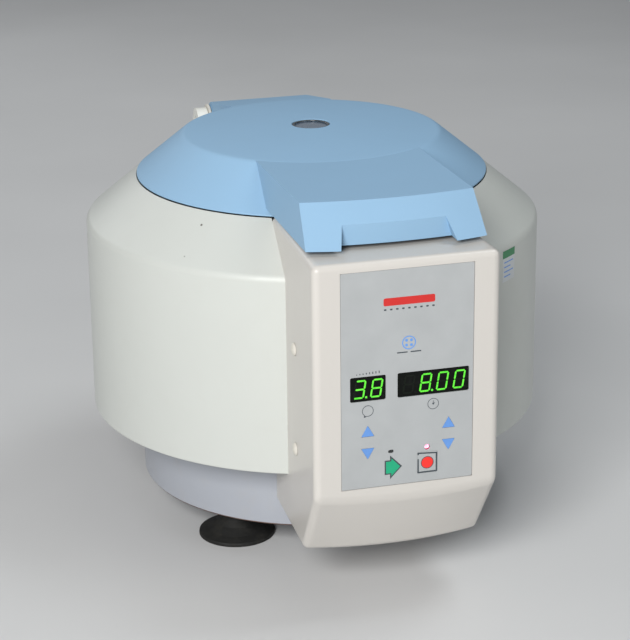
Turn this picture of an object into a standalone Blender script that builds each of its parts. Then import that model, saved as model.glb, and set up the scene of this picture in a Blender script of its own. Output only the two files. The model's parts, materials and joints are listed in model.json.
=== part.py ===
"""Bench-top laboratory centrifuge with a four-place swing-out rotor.

Metres, +Z up, -Y towards the user. The origin lies on the bench, under the middle
of the machine's bounding box. Heights in the constants are above the bench, radii
are about the rotor axis, and "reach" is a distance in front of (-) or behind (+)
that axis along Y.
"""
import math

import bmesh
import bpy
from mathutils import Matrix, Vector

# ---- driving dimensions -------------------------------------------------------------
AXIS_Y = 0.0334             # rotor axis, behind the origin
GAP = 0.0003                # between pieces that touch
BIG, MEDIUM, SMALL = 48, 24, 12     # sides of a turned shape

PAN_R, PAN_BASE, PAN_TOP = 0.1441, 0.0255, 0.110
PAN_WALL, PAN_FLOOR = 0.0020, 0.0025
CASING_R, CASING_BASE, CASING_WALL = 0.184, 0.087, 0.0025
SHOULDER_R, SHOULDER_Z = 0.008, 0.2405      # rounding radius, height where it starts
CONE_TILT = math.radians(50.3)              # the cone's outward normal above level
CONE_TOP_R, CONE_TOP_Z = 0.1425, 0.2787

LID_RIM_R, LID_RIM_Z = 0.1419, 0.2794
LID_FLAT_R, LID_FLAT_Z, LID_CROWN_Z = 0.104, 0.3114, 0.3163
LID_WALL = 0.003
VIEWPORT_R = 0.0155
NOSE_TOP_Z, NOSE_BASE_Z = 0.313, 0.284
NOSE_BACK, NOSE_SINK = -0.060, 0.0022    # where its top ends, and how much lower it is there
GRIP_BACK, GRIP_BOW = -0.2280, 0.0026       # the finger recess's wall, mid and its ends' setback
GRIP_HALF, GRIP_FLARE, GRIP_TOP = 0.0387, 0.0050, 0.3000
HINGE_REACH, HINGE_Z = 0.177, 0.280
BARREL_R, BARREL_HALF = 0.0137, 0.0442
BRACKET_X, BRACKET_T = 0.0524, 0.0098
PIN_R = 0.004

FRONT = -0.2583             # the console's flat front, its reach
CONSOLE_HALF, CONSOLE_DRAFT = 0.0703, 0.035
CONSOLE_TOP, CONSOLE_FOLD, CONSOLE_BASE = 0.2804, 0.097, 0.0455
CONSOLE_WALL = 0.003
PANEL_W, PANEL_LOW, PANEL_HIGH, PANEL_T = 0.1002, 0.10775, 0.2737, 0.0008
SLOT_REACH = -0.205         # the lid hook's slot in the console's top

BOWL_R, BOWL_LIP_R, BOWL_FLOOR, BOWL_RIM = 0.134, 0.1220, 0.146, 0.275
GUARD_R, GUARD_WALL = 0.141, 0.0035
PLATE_R, PLATE_Z, PLATE_T = 0.096, 0.057, 0.004
MOTOR_R, MOTOR_TOP = 0.048, 0.126
SHAFT_R = 0.0054
YOKE_R, YOKE_Z, YOKE_T = 0.074, 0.224, 0.016
PIVOT_R = 0.060             # bucket pivots, from the rotor axis
BUCKET_R, BUCKET_WALL, BUCKET_DROP, BUCKET_RISE = 0.0165, 0.002, 0.066, 0.012
SLOT_HALF = 0.023           # half the yoke's opening for a bucket

FOOT_R, FOOT_X, FOOT_Y = 0.031, 0.087, 0.077
INLET_Z = 0.128

# The control panel's items: middle across, middle height, width, height.
SPEED_WINDOW = (-0.02965, 0.18525, 0.0268, 0.0190)
TIME_WINDOW = (0.01965, 0.18525, 0.0543, 0.0190)
ARROW_KEYS = {
    "key_speed_up": (-0.0299, 0.1525, 1),
    "key_speed_down": (-0.0299, 0.1347, -1),
    "key_time_up": (0.0315, 0.1526, 1),
    "key_time_down": (0.0315, 0.1350, -1),
}
START_KEY = (-0.0107, 0.1221)
STOP_KEY = (0.0154, 0.1229)
LAMPS = {"run_lamp": (-0.0124, 0.1346), "stop_lamp": (0.0153, 0.1347)}
LAMP_R = 0.0019

# ---- scene --------------------------------------------------------------------------
for old in list(bpy.data.objects):
    bpy.data.objects.remove(old, do_unlink=True)

PARTS = bpy.data.collections.new("laboratory_centrifuge")
CUTTERS = bpy.data.collections.new("cutters")
for group in (PARTS, CUTTERS):
    bpy.context.scene.collection.children.link(group)


def finish(name, colour, roughness, metallic=0.0):
    material = bpy.data.materials.new(name)
    material.use_nodes = True
    shader = material.node_tree.nodes["Principled BSDF"]
    shader.inputs["Base Color"].default_value = (*colour, 1.0)
    shader.inputs["Roughness"].default_value = roughness
    shader.inputs["Metallic"].default_value = metallic
    return material


CREAM = finish("cream_paint", (0.72, 0.72, 0.66), 0.40)
WHITE = finish("warm_white_plastic", (0.76, 0.72, 0.69), 0.38)
BLUE = finish("blue_plastic", (0.26, 0.42, 0.64), 0.42)
PALE_BLUE = finish("pale_blue_plastic", (0.50, 0.54, 0.62), 0.45)
GREY_FILM = finish("grey_film", (0.50, 0.54, 0.55), 0.45)
KEY_BLUE = finish("key_blue", (0.12, 0.28, 0.72), 0.45)
KEY_GREEN = finish("key_green", (0.02, 0.38, 0.20), 0.45)
KEY_RED = finish("key_red", (0.85, 0.04, 0.03), 0.45)
BLACK = finish("black_plastic", (0.02, 0.02, 0.02), 0.35)
RUBBER = finish("black_rubber", (0.025, 0.025, 0.022), 0.80)
SMOKE = finish("smoked_window", (0.10, 0.12, 0.14), 0.10)
LENS_GREEN = finish("lamp_green", (0.02, 0.12, 0.04), 0.20)
LENS_RED = finish("lamp_red", (0.90, 0.10, 0.15), 0.20)
STEEL = finish("stainless_steel", (0.60, 0.60, 0.60), 0.28, 1.0)
ZINC = finish("zinc_plate", (0.55, 0.56, 0.58), 0.40, 1.0)
ALLOY = finish("cast_alloy", (0.62, 0.63, 0.65), 0.45, 1.0)
BOARD = finish("circuit_board", (0.02, 0.20, 0.09), 0.50)
IVORY = finish("ivory_nylon", (0.78, 0.75, 0.66), 0.45)


# ---- shapes -------------------------------------------------------------------------
def at(x, reach, z):
    """A place given from the rotor axis, in the machine's own frame."""
    return Vector((x, AXIS_Y + reach, z))


def place(name, mesh, location, material):
    """A part when it has a material, otherwise a cutter that isn't part of the machine."""
    obj = bpy.data.objects.new(name, mesh)
    obj.location = location
    if material is None:
        CUTTERS.objects.link(obj)
        obj.hide_render = True
        obj.display_type = "WIRE"
    else:
        PARTS.objects.link(obj)
        mesh.materials.append(material)
    return obj


def mesh_of(name, bm):
    mesh = bpy.data.meshes.new(name)
    bm.normal_update()
    bm.to_mesh(mesh)
    bm.free()
    mesh.shade_smooth()
    mesh.set_sharp_from_angle(angle=math.radians(32))
    return mesh


def box(name, size, middle, material=None, rounding=0.0):
    bm = bmesh.new()
    bmesh.ops.create_cube(bm, size=1.0, matrix=Matrix.Diagonal((*size, 1.0)))
    obj = place(name, mesh_of(name, bm), middle, material)
    if rounding:
        bevel(obj, rounding)
    return obj


def rod(name, radius, length, middle, axis, material=None, sides=SMALL):
    turn = {"X": Matrix.Rotation(math.pi / 2, 4, "Y"), "Z": Matrix.Identity(4),
            "Y": Matrix.Rotation(math.pi / 2, 4, "X")}[axis]
    bm = bmesh.new()
    bmesh.ops.create_cone(bm, cap_ends=True, segments=sides, radius1=radius,
                          radius2=radius, depth=length, matrix=turn)
    return place(name, mesh_of(name, bm), middle, material)


def turned(name, profile, sides, middle, material=None, closed=False):
    """A profile of (radius, height), down its outer side, turned about Z by Screw."""
    mesh = bpy.data.meshes.new(name)
    verts = [(radius, 0.0, height) for radius, height in profile]
    edges = [(i, i + 1) for i in range(len(verts) - 1)]
    if closed:
        edges.append((len(verts) - 1, 0))
    mesh.from_pydata(verts, edges, [])
    obj = place(name, mesh, middle, material)
    screw = obj.modifiers.new("turn", "SCREW")
    screw.steps = screw.render_steps = sides
    screw.use_merge_vertices = True
    screw.merge_threshold = 0.00001
    screw.use_smooth_shade = True
    return obj


def outline_mesh(name, loops, thickness, turn):
    """Flat outlines (the later ones are holes), thickened both ways, as one welded mesh."""
    curve = bpy.data.curves.new(name, "CURVE")
    curve.dimensions = "2D"
    curve.fill_mode = "BOTH"
    curve.extrude = thickness / 2
    for points in loops:
        spline = curve.splines.new("POLY")
        spline.points.add(len(points) - 1)
        for point, (u, v) in zip(spline.points, points):
            point.co = (u, v, 0.0, 1.0)
        spline.use_cyclic_u = True
    guide = bpy.data.objects.new(name + "_outline", curve)
    CUTTERS.objects.link(guide)
    evaluated = guide.evaluated_get(bpy.context.evaluated_depsgraph_get())
    mesh = bpy.data.meshes.new_from_object(evaluated)
    bm = bmesh.new()
    bm.from_mesh(mesh)
    bmesh.ops.remove_doubles(bm, verts=bm.verts, dist=0.000001)
    bmesh.ops.recalc_face_normals(bm, faces=bm.faces)
    bmesh.ops.transform(bm, matrix=turn, verts=bm.verts)
    bpy.data.objects.remove(guide, do_unlink=True)
    bpy.data.meshes.remove(mesh)
    return mesh_of(name, bm)


# An outline's (u, v) becomes (Y, Z) for a side view, or (X, Z) for a front view.
SIDE_VIEW = Matrix(((0, 0, 1, 0), (1, 0, 0, 0), (0, 1, 0, 0), (0, 0, 0, 1)))
FRONT_VIEW = Matrix(((1, 0, 0, 0), (0, 0, -1, 0), (0, 1, 0, 0), (0, 0, 0, 1)))


def side_plate(name, points, thickness, middle, material=None):
    return place(name, outline_mesh(name, [points], thickness, SIDE_VIEW), middle, material)


def front_plate(name, points, thickness, middle, material=None):
    return place(name, outline_mesh(name, [points], thickness, FRONT_VIEW), middle, material)


def loft(name, sections, middle, material=None):
    """A closed body through sections that all have the same number of points."""
    bm = bmesh.new()
    rings = [[bm.verts.new(point) for point in section] for section in sections]
    count = len(rings[0])
    for ring, following in zip(rings, rings[1:]):
        for i in range(count):
            j = (i + 1) % count
            bm.faces.new((ring[i], ring[j], following[j], following[i]))
    bm.faces.new(rings[0])
    bm.faces.new(rings[-1])
    bmesh.ops.recalc_face_normals(bm, faces=bm.faces)
    return place(name, mesh_of(name, bm), middle, material)


def bevel(obj, width, segments=2, angle=35):
    edge = obj.modifiers.new("round", "BEVEL")
    edge.width = width
    edge.segments = segments
    edge.limit_method = "ANGLE"
    edge.angle_limit = math.radians(angle)


def boolean(obj, operation, *others):
    for other in others:
        step = obj.modifiers.new(other.name, "BOOLEAN")
        step.operation = operation
        step.solver = "EXACT"
        step.object = other


def cut(obj, *others):
    boolean(obj, "DIFFERENCE", *others)


def join(obj, *others):
    boolean(obj, "UNION", *others)


def arc(middle, radius, start, end, count):
    """Points of an arc, angles in degrees from the first axis."""
    turns = [math.radians(start + (end - start) * i / (count - 1)) for i in range(count)]
    return [(middle[0] + radius * math.cos(t), middle[1] + radius * math.sin(t)) for t in turns]


def hang(name, location, *pieces):
    """Moving pieces are carried by an empty on their joint's axis."""
    pivot = bpy.data.objects.new(name, None)
    pivot.location = location
    PARTS.objects.link(pivot)
    for piece in pieces:
        piece.parent = pivot
        piece.matrix_parent_inverse = Matrix.Translation(location).inverted()
    return pivot


# ---- casing and base ----------------------------------------------------------------
def casing_line(offset):
    """The casing's outside from its top edge to its lower rim, moved out by offset."""
    lean = CONE_TILT
    top = (CONE_TOP_R + offset * math.cos(lean), CONE_TOP_Z + offset * math.sin(lean))
    centre = (CASING_R - SHOULDER_R, SHOULDER_Z)
    shoulder = arc(centre, SHOULDER_R + offset, math.degrees(lean), 0, 6)
    return [top, *shoulder, (CASING_R + offset, CASING_BASE)]


def console_half(reach):
    """Half the console's width: its sides draw in towards the back."""
    return CONSOLE_HALF - CONSOLE_DRAFT * (reach - FRONT)


def console_solid(name, inset, back, material=None):
    """The console's outer shape, drawn in by inset on every side but the back."""
    columns = 8
    sections = []
    for i in range(columns + 1):
        s = -1 + 2 * i / columns
        front = FRONT + inset
        top = CONSOLE_TOP - inset
        fold = CONSOLE_FOLD + 0.0045 * s * s + inset * 0.3
        chin_r = 0.2290 - inset
        x_chin = (CONSOLE_HALF - 0.0006 - inset) * s
        chin = -math.sqrt(chin_r ** 2 - x_chin ** 2)
        low = CONSOLE_BASE + inset
        outline = [(back, top), (front, top), (front, fold), (chin, low), (back, low)]
        section = []
        for reach, z in outline:
            half = console_half(reach - inset) - inset
            if z < CONSOLE_FOLD - 0.01:
                half -= 0.0012
            section.append((half * s, reach, z))
        sections.append(section)
    return loft(name, sections, at(0, 0, 0), material)


def make_base():
    pan = turned("base_pan", [
        (0, PAN_BASE + PAN_FLOOR), (PAN_R - PAN_WALL, PAN_BASE + PAN_FLOOR),
        (PAN_R - PAN_WALL, PAN_TOP), (PAN_R, PAN_TOP), (PAN_R, PAN_BASE + 0.002),
        (PAN_R - 0.0015, PAN_BASE), (0, PAN_BASE)], BIG, at(0, 0, 0), PALE_BLUE)
    for i in range(6):
        reach = 0.030 + 0.012 * (i % 3)
        side = -1 if i < 3 else 1
        cut(pan, box(f"vent_{i}", (0.050, 0.005, 0.020), at(0, side * reach, PAN_BASE)))
    for x in (-FOOT_X, FOOT_X):
        for reach in (-FOOT_Y, FOOT_Y):
            cut(pan, rod(f"foot_hole_{x}_{reach}", 0.0033, 0.02, at(x, reach, PAN_BASE), "Z"))

    inner = casing_line(-CASING_WALL)
    casing = turned("casing", casing_line(0) + inner[::-1], BIG, at(0, 0, 0), CREAM, closed=True)
    cut(casing, console_solid("console_room", -0.0004, -0.090))
    cut(casing, box("inlet_hole", (0.0632, 0.060, 0.0392), at(0, 0.184, INLET_Z)))
    return casing


def make_feet():
    stem, bore, bore_low = 0.012, 0.0033, 0.008
    profile = [(0, bore_low), (bore, bore_low), (bore, PAN_BASE - GAP), (stem, PAN_BASE - GAP),
               (stem, 0.016), (0.017, 0.0105), (0.024, 0.0060), (FOOT_R, 0.0025),
               (FOOT_R, 0), (0.024, 0), (0.012, 0.0038), (0, 0.0048)]
    head = PAN_BASE + PAN_FLOOR + GAP
    screw = [(0, head + 0.0035), (0.0045, head + 0.0035), (0.0055, head + 0.0025),
             (0.0055, head), (0.003, head), (0.003, 0.009), (0, 0.009)]
    corners = [(-1, -1), (1, -1), (-1, 1), (1, 1)]
    for i, (sx, sy) in enumerate(corners, 1):
        middle = at(sx * FOOT_X, sy * FOOT_Y, 0)
        turned(f"foot_{i}", profile, 20, middle, RUBBER)
        turned(f"foot_screw_{i}", screw, 12, middle, ZINC)


# ---- console ------------------------------------------------------------------------
def make_console():
    console = console_solid("console_housing", 0.0, -0.110, WHITE)
    bevel(console, 0.0050, 2, 30)
    cut(console, console_solid("console_hollow", CONSOLE_WALL, -0.100))
    cut(console, rod("drum_room", PAN_R + GAP, 0.5, at(0, 0, 0.2), "Z", sides=BIG))
    panel_mid = (PANEL_LOW + PANEL_HIGH) / 2
    panel_h = PANEL_HIGH - PANEL_LOW
    cut(console,
        box("panel_recess", (PANEL_W, 0.0030, panel_h), at(0, FRONT, panel_mid)),
        box("panel_window", (PANEL_W - 0.005, 0.020, panel_h - 0.008), at(0, FRONT, panel_mid)),
        box("hook_slot", (0.022, 0.016, 0.020), at(0, SLOT_REACH, CONSOLE_TOP)))
    cap = [(0, 0.0022), (0.0030, 0.0018), (0.0046, 0.0009), (0.0050, 0), (0.0028, 0),
           (0.0028, -0.0042), (0, -0.0042)]
    number = 0
    for reach, z in ((-0.1995, 0.1991), (-0.1995, 0.1198)):
        half = console_half(reach)
        cut(console, rod(f"cap_hole_{z}", 0.0031, 0.2, at(0, reach, z), "X"))
        for side in (-1, 1):
            number += 1
            piece = turned(f"screw_cap_{number}", cap, SMALL,
                           at(side * (half + 0.00045), reach, z), IVORY)
            piece.rotation_euler = (0, side * math.pi / 2, side * CONSOLE_DRAFT)


def rounded(width, height, radius, middle=(0, 0), count=3):
    x, y = width / 2 - radius, height / 2 - radius
    points = []
    for sx, sy, start in ((1, 1, 0), (-1, 1, 90), (-1, -1, 180), (1, -1, 270)):
        corner = (middle[0] + sx * x, middle[1] + sy * y)
        points += arc(corner, radius, start, start + 90, count)
    return points


def triangle(up, grow=0.0):
    """An arrow key's outline, about its middle, up or down."""
    half, tall = 0.0048 + 1.7 * grow, 0.0084 + 3 * grow
    points = [(-half, -tall / 2), (half, -tall / 2), (0, tall / 2)]
    return [(u * up, v * up) for u, v in points]


def arrow(grow=0.0):
    """The start key: a thick arrow pointing right."""
    tail, tip, wing, root = -0.0063 - grow, 0.0066 + 1.5 * grow, 0.0090 + 2 * grow, -0.0022
    body = 0.0055 + grow
    return [(tail, -body), (root - grow, -body), (root - grow, -wing), (tip, 0),
            (root - grow, wing), (root - grow, body), (tail, body)]


def make_controls():
    face = FRONT + 0.0004 + PANEL_T / 2
    middle = (PANEL_LOW + PANEL_HIGH) / 2
    panel = box("control_overlay", (PANEL_W - 2 * GAP, PANEL_T, PANEL_HIGH - PANEL_LOW - 2 * GAP),
                at(0, face, middle), GREY_FILM)
    for name, (x, z, width, height) in (("speed_display", SPEED_WINDOW),
                                        ("time_display", TIME_WINDOW)):
        cut(panel, box(name + "_window", (width, 0.01, height), at(x, face, z)))
        box(name, (width - 2 * GAP, 0.0100, height - 2 * GAP), at(x, FRONT + 0.0058, z), BLACK)

    key_t, key_reach = 0.0024, FRONT + 0.0004 + 0.0012
    keys = {}
    for name, (x, z, up) in ARROW_KEYS.items():
        keys[name] = front_plate(name, triangle(up), key_t, at(x, key_reach, z), KEY_BLUE)
        cut(panel, front_plate(name + "_hole", triangle(up, GAP), 0.01, at(x, face, z)))
    x, z = START_KEY
    keys["key_start"] = front_plate("key_start", arrow(), key_t, at(x, key_reach, z), KEY_GREEN)
    cut(panel, front_plate("start_hole", arrow(GAP), 0.01, at(x, face, z)))
    x, z = STOP_KEY
    square = rounded(0.0154, 0.0165, 0.0008)
    square_hole = rounded(0.0154 + 2 * GAP, 0.0165 + 2 * GAP, 0.0011)
    keys["key_stop"] = front_plate("key_stop", square, key_t, at(x, key_reach, z), KEY_RED)
    cut(panel, front_plate("stop_hole", square_hole, 0.01, at(x, face, z)))

    for name, material in (("run_lamp", LENS_GREEN), ("stop_lamp", LENS_RED)):
        x, z = LAMPS[name]
        dome = [(0, 0.0060), (LAMP_R * 0.6, 0.0057), (LAMP_R, 0.0048), (LAMP_R, 0), (0, 0)]
        lamp = turned(name, dome, 12, at(x, FRONT + 0.0064, z), material)
        lamp.rotation_euler = (math.pi / 2, 0, 0)
        cut(panel, rod(name + "_hole", LAMP_R + GAP, 0.01, at(x, face, z), "Y", sides=12))

    box("control_board", (0.088, 0.0016, 0.150), at(0, FRONT + 0.0125, middle), BOARD)
    return keys


# ---- hinge --------------------------------------------------------------------------
def make_hinge():
    shell = casing_line(0.0004)
    rest = turned("casing_room", [(0, shell[0][1]), *shell, (0, CASING_BASE)], BIG, at(0, 0, 0))
    knuckle = 0.0118
    profile = [(-0.036, -0.032), (-0.030, -0.013), *arc((0, 0), knuckle, 150, -20, 7),
               (-0.0035, -0.0300), (-0.010, -0.036)]
    for side, hand in ((-1, "left"), (1, "right")):
        bracket = side_plate(f"hinge_bracket_{hand}", profile, BRACKET_T,
                             at(side * BRACKET_X, HINGE_REACH, HINGE_Z), CREAM)
        cut(bracket, rest)
        cut(bracket, rod(f"pin_hole_{hand}", PIN_R + 0.0004, 0.03,
                         at(side * BRACKET_X, HINGE_REACH, HINGE_Z), "X"))
        ring = [(0.0145, 0.0011), (0.0145, -0.0011), (PIN_R + 0.0004, -0.0011),
                (PIN_R + 0.0004, 0.0011)]
        washer = turned(f"hinge_washer_{hand}", ring, 24,
                        at(side * 0.0460, HINGE_REACH, HINGE_Z), IVORY, closed=True)
        washer.rotation_euler = (0, math.pi / 2, 0)
    rod("hinge_pin", PIN_R, 0.1142, at(0, HINGE_REACH, HINGE_Z), "X", STEEL)


# ---- lid ----------------------------------------------------------------------------
def nose_solid(name, inset, low):
    """The lid's front overhang, drawn in by inset on its top, front and sides."""
    columns = 8
    sections = []
    for i in range(columns + 1):
        s = -1 + 2 * i / columns
        front_top = -0.2144 + 0.0066 * s * s + inset * 1.3
        front_low = -0.2430 + 0.0100 * s * s + inset * 1.3
        top = NOSE_TOP_Z - inset
        slope = (front_top - front_low) / (NOSE_TOP_Z - NOSE_BASE_Z)
        front_at_low = front_low - slope * (NOSE_BASE_Z - low)
        half_top, half_low = 0.0657 - inset, 0.0680 - inset
        sections.append([(half_top * s, NOSE_BACK, top - NOSE_SINK), (half_top * s, front_top, top),
                         (half_low * s, front_at_low, low), (half_low * s, NOSE_BACK, low)])
    return loft(name, sections, at(0, 0, 0))


def grip_solid(name, near, far, high, spread=0.0):
    """The finger recess's shape, between two depths behind its curved wall."""
    columns = 6
    sections = []
    for i in range(columns + 1):
        s = -1 + 2 * i / columns
        wall = GRIP_BACK + GRIP_BOW * s * s
        top, low = (GRIP_HALF + spread) * s, (GRIP_HALF + GRIP_FLARE + spread) * s
        sections.append([(top, wall + far, high), (top, wall + near, high),
                         (low, wall + near, NOSE_BASE_Z - 0.001),
                         (low, wall + far, NOSE_BASE_Z - 0.001)])
    return loft(name, sections, at(0, 0, 0))


def lid_line(drop, inner_r):
    """The lid's top and cone, from inner_r to where the cone starts, moved in by drop."""
    crown = []
    for i in range(4):
        radius = inner_r + (LID_FLAT_R - inner_r) * i / 3
        rise = (LID_CROWN_Z - LID_FLAT_Z) * (1 - (radius / LID_FLAT_R) ** 2)
        crown.append((radius - 0.45 * drop * (i == 3), LID_FLAT_Z + rise - drop))
    return crown


def make_lid():
    boss_low, ledge, boss_r, sight_r = 0.3045, 0.3118, 0.0190, 0.0133
    lid = turned("lid_shell", [
        *lid_line(0, VIEWPORT_R), (LID_RIM_R, LID_RIM_Z + 0.001), (LID_RIM_R, LID_RIM_Z),
        (boss_r + 0.001, boss_low), (sight_r, boss_low), (sight_r, ledge), (VIEWPORT_R, ledge)],
        BIG, at(0, 0, 0), BLUE, closed=True)
    reach, z = HINGE_REACH, HINGE_Z
    ramp = [(0.060, 0.3112), (0.0975, 0.3112), (reach, z + 0.0166), (reach + 0.007, z + 0.0125),
            (reach, z - BARREL_R + 0.004), (0.146, 0.2803), (0.060, 0.2835)]
    ramp = [(u - reach, v - z) for u, v in ramp]
    join(lid, nose_solid("nose", 0.0, NOSE_BASE_Z),
         side_plate("ramp", ramp, 2 * BARREL_HALF - 0.001, at(0, reach, z)),
         rod("barrel", BARREL_R, 2 * BARREL_HALF, at(0, reach, z), "X", sides=24))

    rim_inner = LID_RIM_R - 0.0045
    hollow = [*lid_line(LID_WALL, boss_r), (rim_inner, LID_RIM_Z - 0.0002), (rim_inner, 0.268),
              (boss_r, 0.268)]
    cut(lid, turned("lid_hollow", hollow, BIG, at(0, 0, 0), closed=True),
        nose_solid("nose_hollow", LID_WALL, 0.270),
        rod("barrel_bore", PIN_R + 0.0004, 0.2, at(0, reach, z), "X"))

    # finger recess: the overhang's sloping face is cut back to an upright wall
    wall = grip_solid("grip_wall", -GAP, LID_WALL - GAP, GRIP_TOP - 0.0015, 0.006)
    cut(wall, box("under_wall", (0.12, 0.04, 0.004), at(0, GRIP_BACK, NOSE_BASE_Z - 0.002 + GAP)))
    join(lid, wall)
    cut(lid, grip_solid("grip", -0.040, 0.0, GRIP_TOP))

    lens = turned("viewport_lens", [(0, 0.3145), (0.0150, 0.3145), (0.0150, ledge + GAP),
                                    (0, ledge + GAP)], MEDIUM, at(0, 0, 0), SMOKE)
    ring = turned("viewport_ring", [(0.0151, 0.3157), (0.0151, 0.3148), (0.0132, 0.3148),
                                    (0.0132, 0.3157)], MEDIUM, at(0, 0, 0), BLACK, closed=True)
    liner_r, seal_r = 0.1290, 0.1285
    liner = turned("lid_liner", [
        (0.0215, 0.2890), (0.110, 0.2890), (liner_r, 0.2850), (liner_r, 0.2835),
        (0.1095, 0.2875), (0.0215, 0.2875)], BIG, at(0, 0, 0), STEEL, closed=True)
    seal_low = BOWL_RIM + GAP
    gasket = turned("lid_gasket", [
        (seal_r, 0.2832), (seal_r - 0.0010, seal_low), (seal_r - 0.0050, seal_low),
        (seal_r - 0.0060, 0.2832)],
        BIG, at(0, 0, 0), RUBBER, closed=True)

    hook = [rounded(0.016, 0.045, 0.002), rounded(0.0095, 0.0095, 0.001, (0, -0.0145))]
    hook = place("latch_hook", outline_mesh("latch_hook", hook, 0.003, FRONT_VIEW),
                 at(0, SLOT_REACH, 0.2869), ZINC)
    return [lid, lens, ring, liner, gasket, hook]


def make_latch():
    bolt_z = 0.2869 - 0.0145
    bolt = rod("latch_bolt", 0.0030, 0.030, at(0, SLOT_REACH + 0.0180, bolt_z), "Y", STEEL)
    coil = box("latch_solenoid", (0.024, 0.026, 0.018), at(0, SLOT_REACH + 0.0260, bolt_z - 0.005), ZINC)
    cut(coil, rod("bolt_bore", 0.0034, 0.10, at(0, SLOT_REACH, bolt_z), "Y"))
    return bolt


# ---- chamber and drive --------------------------------------------------------------
def make_chamber():
    """The chamber's floor, wall and rim, and the steel guard round them."""
    wall = 0.0015
    turned("chamber_floor", [
        (BOWL_R - GAP, BOWL_FLOOR), (BOWL_R - GAP, BOWL_FLOOR - wall),
        (0.0120, BOWL_FLOOR - wall), (0.0120, BOWL_FLOOR)],
        BIG, at(0, 0, 0), STEEL, closed=True)
    rim_low = BOWL_RIM - wall
    for name, inner, outer, low, high in (
            ("chamber_wall", BOWL_R, BOWL_R + wall, BOWL_FLOOR - wall, rim_low - GAP),
            ("chamber_rim", BOWL_LIP_R, 0.1420, rim_low, BOWL_RIM),
            ("guard_ring", GUARD_R - GUARD_WALL, GUARD_R, PAN_BASE + PAN_FLOOR + GAP,
             rim_low - GAP)):
        turned(name, [(outer, high), (outer, low), (inner, low), (inner, high)], BIG,
               at(0, 0, 0), ZINC if name == "guard_ring" else STEEL, closed=True)


def make_drive():
    low = PAN_BASE + PAN_FLOOR + GAP
    turned("motor_plate", [(PLATE_R, PLATE_Z + PLATE_T), (PLATE_R, PLATE_Z), (0.030, PLATE_Z),
                           (0.030, PLATE_Z + PLATE_T)], MEDIUM, at(0, 0, 0), ZINC, closed=True)
    for i in range(3):
        turn = math.radians(30 + 120 * i)
        middle = at(0.075 * math.cos(turn), 0.075 * math.sin(turn), 0)
        high = PLATE_Z - GAP
        turned(f"motor_mount_{i + 1}", [
            (0, high), (0.011, high), (0.011, high - 0.004), (0.0085, high - 0.009),
            (0.0085, low + 0.009), (0.011, low + 0.004), (0.011, low), (0, low)],
            SMALL, middle, RUBBER)

    floor = PLATE_Z + PLATE_T + GAP
    turned("motor_housing", [
        (0, 0.066), (SHAFT_R + 0.0006, 0.066), (SHAFT_R + 0.0006, MOTOR_TOP + 0.004),
        (0.014, MOTOR_TOP + 0.004), (0.014, MOTOR_TOP), (MOTOR_R - 0.004, MOTOR_TOP),
        (MOTOR_R, MOTOR_TOP - 0.004), (MOTOR_R, floor), (0, floor)],
        MEDIUM, at(0, 0, 0), ALLOY)

    seat = YOKE_Z - YOKE_T / 2 - GAP
    shaft = turned("motor_shaft", [
        (0, 0.2465), (0.0035, 0.2465), (0.0040, 0.2460), (0.0040, YOKE_Z + YOKE_T / 2),
        (0.0050, YOKE_Z + YOKE_T / 2), (0.0050, seat), (0.0085, seat), (0.0085, seat - 0.012),
        (SHAFT_R, seat - 0.016), (SHAFT_R, 0.067), (0, 0.067)], SMALL, at(0, 0, 0), STEEL)

    fan = turned("cooling_fan", [
        (0.0150, 0.1405), (0.0150, 0.1335), (0.0520, 0.1335), (0.0520, 0.1318),
        (SHAFT_R + GAP, 0.1318), (SHAFT_R + GAP, 0.1405)], MEDIUM, at(0, 0, 0), BLACK, closed=True)
    for i in range(8):
        blade = box(f"blade_{i}", (0.036, 0.0016, 0.0072), at(0, 0, 0.1366))
        turn = Matrix.Rotation(math.tau * i / 8, 4, "Z")
        blade.data.transform(turn @ Matrix.Translation((0.0325, 0, 0)))
        join(fan, blade)

    yoke = make_yoke()
    top = YOKE_Z + YOKE_T / 2 + GAP
    nut = turned("rotor_nut", [
        (0.0035, 0.2500), (0.0095, 0.2500), (0.0110, 0.2490), (0.0110, top + 0.004),
        (0.0150, top), (0.0043, top), (0.0043, 0.2475), (0.0035, 0.2470)],
        SMALL, at(0, 0, 0), BLACK, closed=True)
    return [shaft, fan, yoke], nut


def make_yoke():
    high, low = YOKE_Z + YOKE_T / 2, YOKE_Z - YOKE_T / 2
    yoke = turned("rotor_yoke", [
        (YOKE_R - 0.002, high), (YOKE_R, high - 0.002), (YOKE_R, low + 0.002),
        (YOKE_R - 0.002, low), (0.0053, low), (0.0053, high)], BIG, at(0, 0, 0), ALLOY, closed=True)
    inner, outer = 0.036, 0.090
    for i in range(4):
        turn = Matrix.Rotation(math.tau * i / 4, 4, "Z")
        slot = box(f"bucket_slot_{i}", (outer - inner, 2 * SLOT_HALF, 0.03), at(0, 0, YOKE_Z))
        slot.data.transform(turn @ Matrix.Translation(((inner + outer) / 2, 0, 0)))
        cut(yoke, slot)
    for i in range(4):
        turn = Matrix.Rotation(math.tau * i / 4, 4, "Z")
        for side in (-1, 1):
            stub = rod(f"trunnion_{i}_{side}", 0.003, 0.0055, at(0, 0, YOKE_Z), "Y", sides=12)
            shift = Matrix.Translation((PIVOT_R, side * (SLOT_HALF - 0.0018), 0))
            stub.data.transform(turn @ shift)
            join(yoke, stub)
    return yoke


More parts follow.
